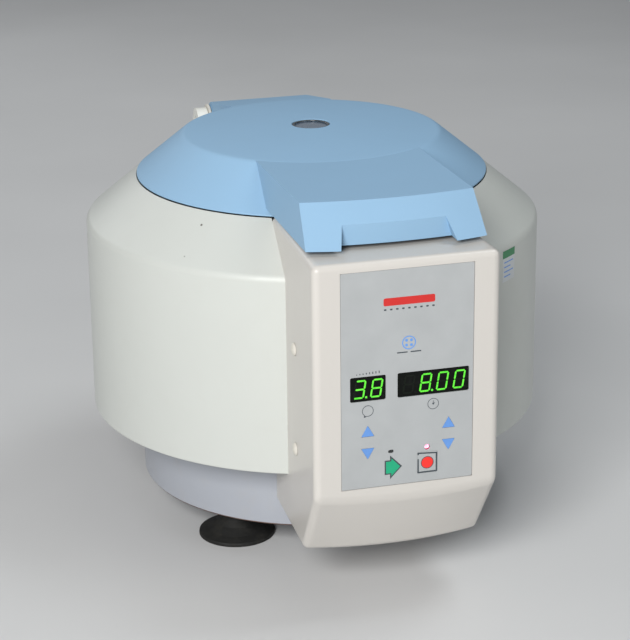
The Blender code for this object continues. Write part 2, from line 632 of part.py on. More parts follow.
def make_buckets():
    """Four cups that hang by an ear on each side from the yoke's trunnions."""
    profile = [
        (0, BUCKET_WALL - BUCKET_DROP), (BUCKET_R - BUCKET_WALL - 0.003, BUCKET_WALL - BUCKET_DROP),
        (BUCKET_R - BUCKET_WALL, BUCKET_WALL + 0.004 - BUCKET_DROP),
        (BUCKET_R - BUCKET_WALL, BUCKET_RISE), (BUCKET_R + 0.0013, BUCKET_RISE),
        (BUCKET_R + 0.0013, BUCKET_RISE - 0.003), (BUCKET_R, BUCKET_RISE - 0.0035),
        (BUCKET_R, 0.005 - BUCKET_DROP), (BUCKET_R - 0.004, -BUCKET_DROP), (0, -BUCKET_DROP)]
    pivots = []
    for i in range(4):
        turn = Matrix.Rotation(math.tau * i / 4, 4, "Z")
        pivot = at(0, 0, YOKE_Z) + turn @ Vector((PIVOT_R, 0, 0))
        bucket = turned(f"bucket_{i + 1}", profile, 20, pivot, STEEL)
        for side in (-1, 1):
            ear = box(f"ear_{i}_{side}", (0.0110, 0.0065, 0.0130), pivot)
            ear.data.transform(turn @ Matrix.Translation((0, side * (BUCKET_R + 0.0016), 0)))
            join(bucket, ear)
            hole = rod(f"ear_hole_{i}_{side}", 0.0034, 0.0040, pivot, "Y", sides=12)
            hole.data.transform(turn @ Matrix.Translation((0, side * (BUCKET_R + 0.0036), 0)))
            cut(bucket, hole)
        pivots.append(hang(f"bucket_{i + 1}_pivot", pivot, bucket))
    return pivots


# ---- power --------------------------------------------------------------------------
def make_power():
    skin, face = 0.1844, 0.1875
    inlet = box("power_inlet", (0.074, 0.0140, 0.048), at(0, face - 0.007, INLET_Z), BLACK)
    cut(inlet, rod("casing_back", skin, 0.2, at(0, 0, INLET_Z), "Z", sides=BIG))
    join(inlet, box("inlet_body", (0.0620, 0.0300, 0.0380), at(0, face - 0.0155, INLET_Z)))
    socket = (0.0130, INLET_Z + 0.0035)
    cut(inlet, box("socket", (0.0240, 0.0340, 0.0165), at(socket[0], face, socket[1])))
    for i, (dx, dz) in enumerate(((-0.007, -0.002), (0.007, -0.002), (0, 0.0025))):
        join(inlet, box(f"contact_{i}", (0.0020, 0.0140, 0.0040),
                        at(socket[0] + dx, face - 0.0115, socket[1] + dz)))
    fuse_z = INLET_Z - 0.0125
    cut(inlet, box("fuse_bay", (0.0246, 0.0480, 0.0086), at(socket[0], face, fuse_z)))
    fuse = box("fuse_drawer", (0.0240, 0.0230, 0.0080), at(socket[0], face - 0.0112, fuse_z), BLACK)

    rocker_x, rocker_z = -0.0190, INLET_Z
    cut(inlet, box("rocker_bay", (0.0134, 0.0260, 0.0214), at(rocker_x, face, rocker_z)))
    rocker_reach = face - 0.0045
    lean = 10
    crest = [(-0.0060, -0.0080), (0.0020, -0.0096), *arc((-0.002, 0), 0.0102, -62, -8, 4),
             *arc((-0.002, 0), 0.0102, 8, 62, 4), (0.0020, 0.0096), (-0.0060, 0.0080)]
    crest = [(0.72 * u, 0.94 * v) for u, v in crest]
    rocker = side_plate("power_rocker", crest, 0.0122, at(rocker_x, rocker_reach, rocker_z), BLACK)
    rocker.data.transform(Matrix.Rotation(math.radians(lean), 4, "X"))
    return rocker, fuse, at(rocker_x, rocker_reach, rocker_z)


# ---- assembly -----------------------------------------------------------------------
make_base()
make_feet()
make_console()
keys = make_controls()
make_hinge()
lid_pieces = make_lid()
latch_bolt = make_latch()
make_chamber()
spinning, rotor_nut = make_drive()
bucket_pivots = make_buckets()
power_rocker, fuse_drawer, rocker_pivot = make_power()

hang("lid_hinge", at(0, HINGE_REACH, HINGE_Z), *lid_pieces)
hang("latch_slide", latch_bolt.location.copy(), latch_bolt)
rotor = hang("rotor_axis", at(0, 0, YOKE_Z), *spinning)
hang("nut_axis", at(0, 0, YOKE_Z), rotor_nut)
for pivot in bucket_pivots:
    pivot.parent = rotor
    pivot.matrix_parent_inverse = Matrix.Translation(rotor.location).inverted()
for name, key in keys.items():
    hang(name + "_slide", key.location.copy(), key)
hang("rocker_pivot", rocker_pivot, power_rocker)
hang("fuse_slide", fuse_drawer.location.copy(), fuse_drawer)
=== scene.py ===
"""Looks of the bench-top laboratory centrifuge: fine shells, printed panel, lit digits,
spun metal inside, procedural materials, studio light and the camera.

Metres, in the CAD frame: +Z up, -Y towards the user. Radii are about the rotor axis and
"reach" is a distance in front of (-) or behind (+) that axis along Y.
"""
import json
import math

import bmesh
import bpy
from mathutils import Matrix, Vector


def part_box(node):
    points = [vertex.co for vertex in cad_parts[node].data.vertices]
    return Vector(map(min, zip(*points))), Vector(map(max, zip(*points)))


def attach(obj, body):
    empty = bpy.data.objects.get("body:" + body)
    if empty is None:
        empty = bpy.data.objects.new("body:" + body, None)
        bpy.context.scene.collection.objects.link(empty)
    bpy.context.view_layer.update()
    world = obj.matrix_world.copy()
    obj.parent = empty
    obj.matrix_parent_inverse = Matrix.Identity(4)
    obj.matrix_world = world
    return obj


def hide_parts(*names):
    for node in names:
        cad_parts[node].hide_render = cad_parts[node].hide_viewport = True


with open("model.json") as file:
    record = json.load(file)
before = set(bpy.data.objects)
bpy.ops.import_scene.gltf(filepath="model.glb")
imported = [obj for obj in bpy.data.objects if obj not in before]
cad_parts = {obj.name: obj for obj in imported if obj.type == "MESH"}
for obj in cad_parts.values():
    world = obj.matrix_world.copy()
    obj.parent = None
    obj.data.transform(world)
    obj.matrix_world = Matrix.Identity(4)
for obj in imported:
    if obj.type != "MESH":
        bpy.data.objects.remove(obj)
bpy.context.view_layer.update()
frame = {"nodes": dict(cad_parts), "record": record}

# ---- places read from the frame -----------------------------------------------------
PAN_LOW, PAN_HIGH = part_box("base_pan")
CASING_LOW, CASING_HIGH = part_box("casing")
CONSOLE_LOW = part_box("console_housing")[0]
PANEL_LOW, PANEL_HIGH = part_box("control_overlay")
PIN_LOW, PIN_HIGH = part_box("hinge_pin")

AXIS_Y = (PAN_LOW.y + PAN_HIGH.y) / 2
PAN_R = (PAN_HIGH.x - PAN_LOW.x) / 2
CASING_R = (CASING_HIGH.x - CASING_LOW.x) / 2
FRONT = CONSOLE_LOW.y - AXIS_Y
HINGE_REACH = (PIN_LOW.y + PIN_HIGH.y) / 2 - AXIS_Y
HINGE_Z = (PIN_LOW.z + PIN_HIGH.z) / 2

SHOULDER_R, SHOULDER_Z = 0.008, 0.2405
CONE_TILT = 50.3
CONE_TOP_R, CONE_TOP_Z = 0.1425, 0.2787
CASING_WALL = 0.0025
LID_RIM_R, LID_RIM_Z = 0.1419, 0.2794
LID_FLAT_R, LID_FLAT_Z, LID_CROWN_Z = 0.104, 0.3114, 0.3163
LID_WALL = 0.003
VIEWPORT_R = 0.0155
NOSE_TOP_Z, NOSE_BASE_Z, NOSE_BACK, NOSE_SINK = 0.313, 0.284, -0.06, 0.0022
GRIP_BACK, GRIP_BOW, GRIP_HALF, GRIP_FLARE, GRIP_TOP = -0.228, 0.0026, 0.0387, 0.005, 0.3
BARREL_R, BARREL_HALF = 0.0137, 0.0442
BRACKET_X, BRACKET_T, WASHER_X = 0.0524, 0.0098, 0.046
CONSOLE_HALF, CONSOLE_DRAFT = 0.0703, 0.035
CONSOLE_TOP, CONSOLE_FOLD, CONSOLE_BASE = 0.2804, 0.097, 0.0455
CONSOLE_WALL = 0.003
INLET_Z = 0.128
PANEL_FACE = PANEL_LOW.y - AXIS_Y
PIN_BORE = 0.0044                # radius of the holes for the hinge pin
CHIN_R, CONSOLE_BOW = 0.229, 0.0045
KEY_DEPTH, START_LEFT, STOP_SIZE = 0.0024, 0.0063, (0.0154, 0.0165)
ARROW_KEYS = ("key_speed_up", "key_speed_down", "key_time_up", "key_time_down")
FINE = 160                       # sides of a large turned shell
AXIS = Vector((0, AXIS_Y, 0))
UPRIGHT = Matrix.Identity(4)
shift = Matrix.Translation

# Local (u, v, w) axes of a side view (Y, Z, X) and of a front view (X, Z, -Y).
SIDE = Matrix(((0, 0, 1, 0), (1, 0, 0, 0), (0, 1, 0, 0), (0, 0, 0, 1)))
FACE = Matrix(((1, 0, 0, 0), (0, 0, -1, 0), (0, 1, 0, 0), (0, 0, 0, 1)))
ALONG_X = Matrix.Rotation(math.pi / 2, 4, "Y")
ALONG_Y = Matrix.Rotation(math.pi / 2, 4, "X")


# ---- node materials -----------------------------------------------------------------
def srgb(r, g, b):
    """A colour given as the eye reads it, 0 to 255, for the shader."""
    def linear(c):
        c /= 255
        return c / 12.92 if c <= 0.04045 else ((c + 0.055) / 1.055) ** 2.4
    return (linear(r), linear(g), linear(b), 1.0)


class Nodes:
    """A short way to wire shader nodes: each call adds one node and returns its output."""

    def __init__(self, name):
        self.material = bpy.data.materials.new(name)
        self.material.use_nodes = True
        self.tree = self.material.node_tree
        self.shader = self.tree.nodes["Principled BSDF"]

    def add(self, kind, out=0, settings=None, **inputs):
        node = self.tree.nodes.new("ShaderNode" + kind)
        for key, value in (settings or {}).items():
            setattr(node, key, value)
        for key, value in inputs.items():
            self.feed(node.inputs[key.replace("_", " ")], value)
        return node.outputs[out]

    def feed(self, socket, value):
        if isinstance(value, bpy.types.NodeSocket):
            self.tree.links.new(value, socket)
        else:
            socket.default_value = value

    def place(self):
        return self.add("TexCoord", out="Object")

    def noise(self, scale, detail=3.0, rough=0.5, where=None):
        return self.add("TexNoise", Vector=where or self.place(), Scale=scale, Detail=detail,
                        Roughness=rough)

    def spread(self, value, low, high, from_low=0.3, from_high=0.7):
        return self.add("MapRange", Value=value, From_Min=from_low, From_Max=from_high,
                        To_Min=low, To_Max=high)

    def mix(self, amount, a, b):
        node = self.tree.nodes.new("ShaderNodeMix")
        node.data_type = "RGBA"
        self.feed(node.inputs[0], amount)
        self.feed(node.inputs[6], a)
        self.feed(node.inputs[7], b)
        return node.outputs[2]

    def bump(self, height, strength, distance, **under):
        return self.add("Bump", Height=height, Strength=strength, Distance=distance, **under)

    def set(self, **inputs):
        for key, value in inputs.items():
            self.feed(self.shader.inputs[key.replace("_", " ")], value)
        return self.material


def shade(colour, factor):
    return tuple(min(1.0, c * factor) for c in colour[:3]) + (1.0,)


def moulded(name, colour, rough=0.35, grain=900.0, depth=0.00004, mottle=0.05, dust=0.12,
            sheen=0.03, shine=0.5):
    """Moulded or sprayed plastic: fine grain, slow mottling, random patches of dust."""
    n = Nodes(name)
    broad = n.noise(11.0, 4.0, 0.6)
    tint = n.mix(n.spread(broad, 0.0, 1.0), shade(colour, 1 - mottle), shade(colour, 1 + mottle))
    smear = n.noise(55.0, 5.0, 0.65)
    tint = n.mix(n.spread(smear, 0.0, dust, 0.52, 0.75), tint, srgb(176, 170, 158))
    fine = n.noise(grain, 2.0, 0.6)
    speck = n.noise(2400.0, 1.0, 0.5)
    normal = n.bump(fine, 0.3, depth)
    normal = n.bump(speck, 0.12, depth * 0.6, Normal=normal)
    gloss = n.spread(smear, rough - sheen, rough + 1.6 * sheen)
    return n.set(Base_Color=tint, Roughness=gloss, Normal=normal, Specular_IOR_Level=shine)


def metal(name, colour, rough=0.28, lines=(1.0, 1.0, 240.0), around=False, stain=0.1):
    """Brushed, spun or plated metal with fine tool lines and faint stains."""
    n = Nodes(name)
    where = n.place()
    if around:
        flat = n.add("VectorMath", settings={"operation": "MULTIPLY"}, Vector=where)
        flat.node.inputs[1].default_value = (1.0, 1.0, 0.0)
        radius = n.add("VectorMath", out="Value", settings={"operation": "LENGTH"}, Vector=flat)
        split = n.add("SeparateXYZ", out="Z", Vector=where)
        where = n.add("CombineXYZ", X=radius, Z=split)
    stretch = n.add("Mapping", Vector=where, Scale=lines)
    line = n.noise(9.0, 4.0, 0.7, stretch)
    cloud = n.noise(26.0, 4.0, 0.6)
    tint = n.mix(n.spread(cloud, 0.0, stain, 0.45, 0.75), colour, shade(colour, 0.55))
    tint = n.mix(n.spread(line, 0.0, 0.22), tint, shade(colour, 0.72))
    gloss = n.spread(line, rough - 0.06, rough + 0.1)
    return n.set(Base_Color=tint, Metallic=1.0, Roughness=gloss,
                 Normal=n.bump(line, 0.22, 0.00003))


def rubber(name, colour, rough=0.72):
    """Black rubber with grey dust and scuffs."""
    n = Nodes(name)
    dust = n.noise(70.0, 5.0, 0.7)
    tint = n.mix(n.spread(dust, 0.0, 0.35, 0.5, 0.8), colour, srgb(80, 77, 66))
    fine = n.noise(1100.0, 2.0)
    return n.set(Base_Color=tint, Roughness=n.spread(dust, rough - 0.1, rough + 0.15),
                 Normal=n.bump(fine, 0.35, 0.00006))


def printed(name, colour, rough=0.42):
    """Screen-printed ink on film: nearly even, with a faint pebbled surface."""
    n = Nodes(name)
    broad = n.noise(40.0, 3.0)
    tint = n.mix(n.spread(broad, 0.0, 1.0), shade(colour, 0.96), shade(colour, 1.04))
    pebble = n.add("TexVoronoi", Vector=n.place(), Scale=1900.0)
    return n.set(Base_Color=tint, Roughness=n.spread(broad, rough - 0.04, rough + 0.06),
                 Normal=n.bump(pebble, 0.16, 0.00003))


def lit(name, colour, strength, core):
    """A lit segment or lamp: its glow varies in fine blotches between two colours."""
    n = Nodes(name)
    blotch = n.noise(600.0, 2.0)
    glow = n.mix(n.spread(blotch, 0.0, 1.0), colour, core)
    return n.set(Base_Color=shade(colour, 0.4), Emission_Color=glow, Emission_Strength=strength,
                 Roughness=n.spread(blotch, 0.25, 0.4))


def glassy(name, colour, rough=0.06, dirt=0.25, coat=0.6, shine=0.5):
    """A dark glossy window with a little dust on it."""
    n = Nodes(name)
    dust = n.noise(140.0, 5.0, 0.7)
    tint = n.mix(n.spread(dust, 0.0, dirt, 0.5, 0.8), colour, srgb(120, 124, 126))
    return n.set(Base_Color=tint, Roughness=n.spread(dust, rough, rough + 0.22, 0.4, 0.8),
                 Coat_Weight=coat, Coat_Roughness=0.05, Specular_IOR_Level=shine)


CREAM = moulded("cream_paint_fine", srgb(201, 204, 199), 0.4, 420.0, 0.00004, 0.012, 0.04)
# The hinge ears' own whitish cream, made paler still to paint the highlight that falls on them.
EAR_CREAM_PAINTED_HIGHLIGHT = moulded("cream_casting_painted_highlight", srgb(226, 226, 219), 0.42, 300.0, 0.00006, 0.02, 0.1)
WHITE = moulded("white_plastic_fine", srgb(207, 203, 197), 0.3, 260.0, 0.000003, 0.004, 0.0,
               0.012)
BLUE = moulded("blue_plastic_fine", srgb(145, 181, 210), 0.6, 1500.0, 0.00004, 0.015, 0.02,
              0.015, 0.22)
PALE = moulded("pale_blue_fine", srgb(168, 172, 180), 0.34, 900.0, 0.00003, 0.03, 0.14)
FILM = printed("grey_film_fine", srgb(175, 178, 179), 0.46)
KEY_BLUE = printed("ink_blue", srgb(104, 152, 220), 0.4)
KEY_GREEN = printed("ink_green", srgb(28, 168, 122), 0.4)
KEY_RED = printed("ink_red", srgb(246, 52, 44), 0.36)
INK_DARK = printed("ink_dark", srgb(66, 74, 80), 0.42)
INK_CRIMSON = printed("ink_crimson", srgb(206, 44, 40), 0.42)
BLACK = moulded("black_plastic_fine", srgb(34, 34, 35), 0.38, 1200.0, 0.00005, 0.1, 0.2)
WINDOW = glassy("display_window_fine", srgb(7, 10, 7), 0.42, 0.03, 0.0, 0.16)
LAMP_OFF = glassy("lamp_dark_fine", srgb(22, 26, 26))
SMOKE = glassy("viewport_smoke", srgb(112, 124, 140), 0.22, 0.3)
RUBBER = rubber("black_rubber_fine", srgb(17, 17, 15))
STEEL = metal("stainless_fine", srgb(196, 198, 200), 0.24)
SPUN = metal("spun_steel_fine", srgb(200, 202, 204), 0.26, (260.0, 1.0, 260.0), True)
ZINC = metal("zinc_fine", srgb(182, 186, 190), 0.36, (30.0, 30.0, 30.0))
ALLOY = metal("cast_alloy_fine", srgb(190, 193, 198), 0.4, (90.0, 90.0, 20.0), False, 0.2)
BOARD = moulded("circuit_board_fine", srgb(22, 98, 58), 0.32, 500.0, 0.00005, 0.08, 0.1)
IVORY = moulded("ivory_nylon_fine", srgb(214, 210, 200), 0.34, 900.0, 0.00003, 0.02, 0.04)
SMOKE_DARK = glassy("bezel_smoke", srgb(58, 64, 70), 0.18, 0.5)
GREEN_LIT = lit("digit_green", srgb(70, 205, 40), 1.0, srgb(120, 235, 70))
GREEN_DIM = glassy("digit_unlit", srgb(13, 20, 12), 0.4, 0.0, 0.0, 0.2)
# A thin dark red-brown band for the lowest faces of the base's rim.
EDGE_BROWN = moulded("dark_brown_bottom_edge", srgb(104, 76, 66), 0.6, 300.0, 0.0001, 0.25, 0.3)
PAPER = printed("sticker_paper", srgb(206, 210, 212), 0.5)
INK_GREEN = printed("sticker_green", srgb(70, 138, 96), 0.5)
CHIP = moulded("bare_primer", srgb(66, 60, 54), 0.7, 500.0, 0.00006, 0.2, 0.2)
RED_LIT = lit("lamp_red_lit", srgb(255, 70, 120), 3.5, srgb(255, 190, 215))

SLOT_LOOKS = {
    "cream_paint": CREAM, "white_plastic": WHITE, "blue_plastic": BLUE,
    "pale_blue_plastic": PALE, "grey_film": FILM, "key_blue": KEY_BLUE,
    "key_green": KEY_GREEN, "key_red": KEY_RED, "display_black": WINDOW,
    "lamp_dark": LAMP_OFF, "lamp_red": RED_LIT, "black_plastic": BLACK,
    "black_rubber": RUBBER, "smoked_window": SMOKE, "stainless_steel": STEEL,
    "zinc_plate": ZINC, "cast_alloy": ALLOY, "circuit_board": BOARD, "ivory_nylon": IVORY,
}


def dress_cad():
    """Every CAD node that stays takes the fine material of its record slot."""
    slots = {part["node"]: part["material_slot"] for part in frame["record"]["subparts"]}
    for node, obj in frame["nodes"].items():
        obj.data.materials.clear()
        obj.data.materials.append(SLOT_LOOKS[slots[node]])


# ---- mesh tools ---------------------------------------------------------------------
def at(x, reach, z):
    return Vector((x, AXIS_Y + reach, z))


def piece(name, bm, look, body=None, replaces=(), sharp=32):
    """Turns a bmesh into a piece of the object, or into a tool when it has no body."""
    bmesh.ops.remove_doubles(bm, verts=bm.verts, dist=0.000005)
    bmesh.ops.recalc_face_normals(bm, faces=bm.faces)
    mesh = bpy.data.meshes.new(name)
    bm.to_mesh(mesh)
    bm.free()
    mesh.shade_smooth()
    mesh.set_sharp_from_angle(angle=math.radians(sharp))
    for material in look if isinstance(look, (list, tuple)) else [look]:
        if material is not None:
            mesh.materials.append(material)
    obj = bpy.data.objects.new(name, mesh)
    bpy.context.scene.collection.objects.link(obj)
    if body:
        adopt(obj, body, replaces)
    return obj


def adopt(obj, body, replaces=()):
    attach(obj, body)
    if replaces:
        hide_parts(*replaces)


def boxed(node):
    """A CAD node's low corner, high corner and middle."""
    low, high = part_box(node)
    return low, high, (low + high) / 2


def arc(middle, radius, start, end, count):
    turns = [math.radians(start + (end - start) * i / (count - 1)) for i in range(count)]
    return [(middle[0] + radius * math.cos(t), middle[1] + radius * math.sin(t)) for t in turns]


def filleted(points, closed=True, steps=4):
    """Rounds the corners of an outline: each point is (u, v) or (u, v, fillet radius)."""
    result = []
    count = len(points)
    for i, point in enumerate(points):
        radius = point[2] if len(point) > 2 else 0.0
        here = Vector(point[:2])
        if radius <= 0 or (not closed and i in (0, count - 1)):
            result.append(tuple(here))
            continue
        back = Vector(points[i - 1][:2]) - here
        on = Vector(points[(i + 1) % count][:2]) - here
        half = back.angle(on) / 2
        trim = min(radius / math.tan(half), back.length * 0.49, on.length * 0.49)
        start, end = here + back.normalized() * trim, here + on.normalized() * trim
        for k in range(steps + 1):
            t = k / steps
            spot = start * (1 - t) ** 2 + here * 2 * t * (1 - t) + end * t ** 2
            result.append(tuple(spot))
    return result


def skin(bm, rings, closed=True):
    """Joins each ring of corners to the next."""
    count = len(rings[0])
    for ring, following in zip(rings, rings[1:]):
        for i in range(count if closed else count - 1):
            j = (i + 1) % count
            bm.faces.new((ring[i], ring[j], following[j], following[i]))


def lathe(profile, sides, matrix, closed=True):
    """Turns a (radius, height) outline about the axis that the matrix sets."""
    bm = bmesh.new()
    rings = []
    for k in range(sides):
        turn = math.tau * k / sides
        rings.append([bm.verts.new(matrix @ Vector((r * math.cos(turn), r * math.sin(turn), z)))
                      for r, z in profile])
    skin(bm, rings + rings[:1], closed)
    return bm


def turned(name, profile, sides, middle, look, body=None, replaces=(), closed=True,
           facing=UPRIGHT, fillet=True):
    outline = filleted(profile, closed) if fillet else profile
    bm = lathe(outline, sides, shift(middle) @ facing, closed)
    bmesh.ops.remove_doubles(bm, verts=bm.verts, dist=0.000002)
    bmesh.ops.dissolve_degenerate(bm, edges=bm.edges, dist=0.000001)
    return piece(name, bm, look, body, replaces)


def prism(outline, thickness, matrix, bm=None):
    """A flat outline in the matrix's XY plane, thickened evenly both ways."""
    bm = bmesh.new() if bm is None else bm
    low = [bm.verts.new(matrix @ Vector((u, v, -thickness / 2))) for u, v in outline]
    high = [bm.verts.new(matrix @ Vector((u, v, thickness / 2))) for u, v in outline]
    bm.faces.new(low[::-1])
    bm.faces.new(high)
    skin(bm, [low, high])
    return bm


def loft(sections):
    bm = bmesh.new()
    rings = [[bm.verts.new(point) for point in section] for section in sections]
    skin(bm, rings)
    bm.faces.new(rings[0])
    bm.faces.new(rings[-1])
    return bm


def block(size, middle):
    bm = bmesh.new()
    bmesh.ops.create_cube(bm, size=1.0, matrix=shift(middle) @ Matrix.Diagonal((*size, 1.0)))
    return bm


def cylinder(radius, length, middle, facing=UPRIGHT, sides=48):
    bm = bmesh.new()
    bmesh.ops.create_cone(bm, cap_ends=True, segments=sides, radius1=radius, radius2=radius,
                          depth=length, matrix=shift(middle) @ facing)
    return bm


def tool(bm):
    return piece("tool", bm, None)


def cut(bm):
    return "DIFFERENCE", tool(bm)


def union(bm):
    return "UNION", tool(bm)


def carved(obj, *steps):
    """Applies boolean steps (operation, tool) to a mesh and removes the tools."""
    for operation, other in steps:
        mod = obj.modifiers.new("cut", "BOOLEAN")
        mod.operation = operation
        mod.solver = "EXACT"
        mod.object = other
    bake(obj)
    for _, other in steps:
        bpy.data.objects.remove(other)
    return obj


def bake(obj):
    """Applies all of an object's modifiers to its mesh."""
    evaluated = obj.evaluated_get(bpy.context.evaluated_depsgraph_get())
    mesh = bpy.data.meshes.new_from_object(evaluated)
    obj.modifiers.clear()
    obj.data = mesh


def rounded(obj, width, segments, angle):
    """Rounds the edges that bend more than an angle in degrees."""
    mod = obj.modifiers.new("round", "BEVEL")
    mod.width, mod.segments = width, segments
    mod.limit_method, mod.angle_limit = "ANGLE", math.radians(angle)
    bake(obj)


def shaded(obj):
    """Smooth shading that keeps sharp edges and follows the larger faces."""
    obj.data.shade_smooth()
    obj.data.set_sharp_from_angle(angle=math.radians(35))
    obj.modifiers.new("weigh", "WEIGHTED_NORMAL").keep_sharp = True


def softened(obj, width, segments=2, angle=28):
    """Rounds the edges of a carved mesh by a small width and tidies its shading."""
    bm = bmesh.new()
    bm.from_mesh(obj.data)
    bmesh.ops.remove_doubles(bm, verts=bm.verts, dist=0.00004)
    bmesh.ops.dissolve_degenerate(bm, edges=bm.edges, dist=0.00002)
    bmesh.ops.dissolve_limit(bm, angle_limit=math.radians(0.4), verts=bm.verts, edges=bm.edges)
    bm.to_mesh(obj.data)
    bm.free()
    rounded(obj, width, segments, angle)
    shaded(obj)


def pad(name, outline, thickness, middle, look, body, replaces=(), width=0.0003, segments=2):
    """An outline seen from the front, thickened, with soft edges."""
    obj = piece(name, prism(outline, thickness, shift(middle) @ FACE), look)
    softened(obj, width, segments)
    adopt(obj, body, replaces)


# ---- casing and base ----------------------------------------------------------------
def casing_outline(offset=0.0):
    lean = math.radians(CONE_TILT)
    top = (CONE_TOP_R + offset * math.cos(lean), CONE_TOP_Z + offset * math.sin(lean))
    shoulder = arc((CASING_R - SHOULDER_R, SHOULDER_Z), SHOULDER_R + offset, CONE_TILT, 0, 14)
    return [top, *shoulder, (CASING_R + offset, CASING_LOW.z)]


def across(columns):
    """Even steps from -1 at the left side to 1 at the right."""
    return [-1 + 2 * i / columns for i in range(columns + 1)]


def console_half(reach):
    return CONSOLE_HALF - CONSOLE_DRAFT * (reach - FRONT)


def console_sections(inset, back, columns):
    sections = []
    for s in across(columns):
        front, top, low = FRONT + inset, CONSOLE_TOP - inset, CONSOLE_BASE + inset
        fold = CONSOLE_FOLD + CONSOLE_BOW * s * s + inset * 0.3
        x_chin = (CONSOLE_HALF - 0.0006 - inset) * s
        chin = -math.sqrt((CHIN_R - inset) ** 2 - x_chin ** 2)
        sections.append([
            at((console_half(reach - inset) - inset) * s, reach, z)
            for reach, z in [(back, top), (front, top), (front, fold), (chin, low), (back, low)]])
    return sections


def make_casing():
    outer = casing_outline()
    edge_r, edge_z = outer[-1]
    outline = [*outer[:-1], (edge_r, edge_z + 0.0008), (edge_r - 0.0008, edge_z),
               *casing_outline(-CASING_WALL)[::-1]]
    casing = turned("casing_shell", outline, FINE, AXIS, CREAM, fillet=False)
    carved(casing, cut(loft(console_sections(0.0002, -0.09, 8))),
           cut(block((0.0632, 0.06, 0.0392), at(0, CASING_R, INLET_Z))))
    softened(casing, 0.0005, 2, 40)
    adopt(casing, "frame", ["casing"])

    low, high = PAN_LOW.z, PAN_HIGH.z
    drum = turned("base_drum", [
        (0, low + 0.0025), (PAN_R - 0.002, low + 0.0025, 0.001), (PAN_R - 0.002, high),
        (PAN_R, high, 0.0005), (PAN_R, low + 0.0012, 0.0008), (PAN_R - 0.001, low, 0.0006),
        (PAN_R - 0.004, low, 0.0005), (PAN_R - 0.005, low + 0.0005), (0, low + 0.0005)],
        FINE, AXIS, [PALE, EDGE_BROWN], closed=False)
    cuts = [cut(block((0.05, 0.005, 0.02), at(0, side * (0.03 + 0.012 * i), low)))
            for side in (-1, 1) for i in range(3)]
    for i in range(1, 5):
        foot = boxed(f"foot_{i}")[2]
        cuts.append(cut(cylinder(0.0033, 0.02, Vector((foot.x, foot.y, low)), sides=24)))
    carved(drum, *cuts)
    drum.data.set_sharp_from_angle(angle=math.radians(32))
    # The lowest faces round the base's rim take the dark red-brown band.
    for face in drum.data.polygons:
        on_rim = math.hypot(face.center.x, face.center.y - AXIS_Y) > PAN_R - 0.0016
        face.material_index = int(on_rim and face.center.z < low + 0.0013)
    adopt(drum, "frame", ["base_pan"])
    make_sticker()
    make_chips()


def wrapped(name, start, end, low, high, look, lift=0.0001):
    """A thin curved plate on the casing's side, between two angles in degrees."""
    sections = []
    for k in range(11):
        turn = math.radians(start + (end - start) * k / 10)
        sections.append([at((CASING_R + r) * math.cos(turn), (CASING_R + r) * math.sin(turn), z)
                         for r, z in ((-0.0001, low), (lift, low), (lift, high), (-0.0001, high))])
    return piece(name, loft(sections), look, "frame")


def make_sticker():
    """An inspection sticker on the casing's right side, with plain bands and bars."""
    left, right, low, high, band, raised = -52.0, -46.2, 0.215, 0.2402, 0.2342, 0.00016
    wrapped("sticker", left, right, low, high, PAPER)
    wrapped("sticker_band", left, right, band, high, INK_GREEN, raised)
    for i in range(4):
        z = band - 0.004 - 0.0038 * i
        wrapped(f"sticker_bar_{i}", left + 0.7, right - 0.8 - 1.3 * (i % 2), z, z + 0.0009,
                KEY_BLUE, raised)


def make_chips():
    """Two small dark paint chips on the casing's cone."""
    lean, turn = math.radians(CONE_TILT), math.radians(-138.5)
    facing = Matrix.Rotation(turn, 4, "Z") @ Matrix.Rotation(math.pi / 2 - lean, 4, "Y")
    for i, (z, size) in enumerate(((0.2702, 0.001), (0.2513, 0.0005))):
        r = CONE_TOP_R + (CONE_TOP_Z - z) * math.tan(lean)
        turned(f"paint_chip_{i}",
               [(0, 0.00012), (size * 0.8, 0.0001), (size, -0.0001), (0, -0.0001)],
               9, at(r * math.cos(turn), r * math.sin(turn), z), CHIP, "frame",
               closed=False, facing=facing, fillet=False)


# ---- console ------------------------------------------------------------------------
def make_console():
    console = piece("console_shell", loft(console_sections(0.0, -0.11, 24)), WHITE, sharp=60)
    rounded(console, 0.0052, 5, 25)
    middle = (PANEL_LOW.z + PANEL_HIGH.z) / 2
    width, height = PANEL_HIGH.x - PANEL_LOW.x + 0.0006, PANEL_HIGH.z - PANEL_LOW.z + 0.0006
    hook_low, hook_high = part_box("latch_hook")
    hook = (hook_low.y + hook_high.y) / 2 - AXIS_Y
    carved(console,
           cut(loft(console_sections(CONSOLE_WALL, -0.1, 8))),
           cut(cylinder(PAN_R + 0.0003, 0.5, at(0, 0, 0.2), sides=FINE)),
           cut(block((width, 0.003, height), at(0, FRONT, middle))),
           cut(block((width - 0.006, 0.02, height - 0.008), at(0, FRONT, middle))),
           cut(block((0.022, 0.016, 0.02), at(0, hook, CONSOLE_TOP))))
    shaded(console)
    adopt(console, "frame", ["console_housing"])

    stem = 0.0042                    # the part of a screw cap that is inside the wall
    for i in range(1, 5):
        node = f"screw_cap_{i}"
        low, high, middle = boxed(node)
        side = 1 if low.x > 0 else -1
        root = low.x if side > 0 else high.x
        face = (high.x - low.x) - stem
        dome = [(0, stem + face), (0.0022, stem + face * 0.93), (0.004, stem + face * 0.62),
                (0.0049, stem + face * 0.22), (0.005, stem), (0.0028, 0.004), (0.0028, 0),
                (0, 0)]
        turned(f"cap_{i}", dome, 32, Vector((root, middle.y, middle.z)), IVORY, "frame",
               [node], closed=False,
               facing=Matrix.Rotation(side * math.pi / 2, 4, "Y"))


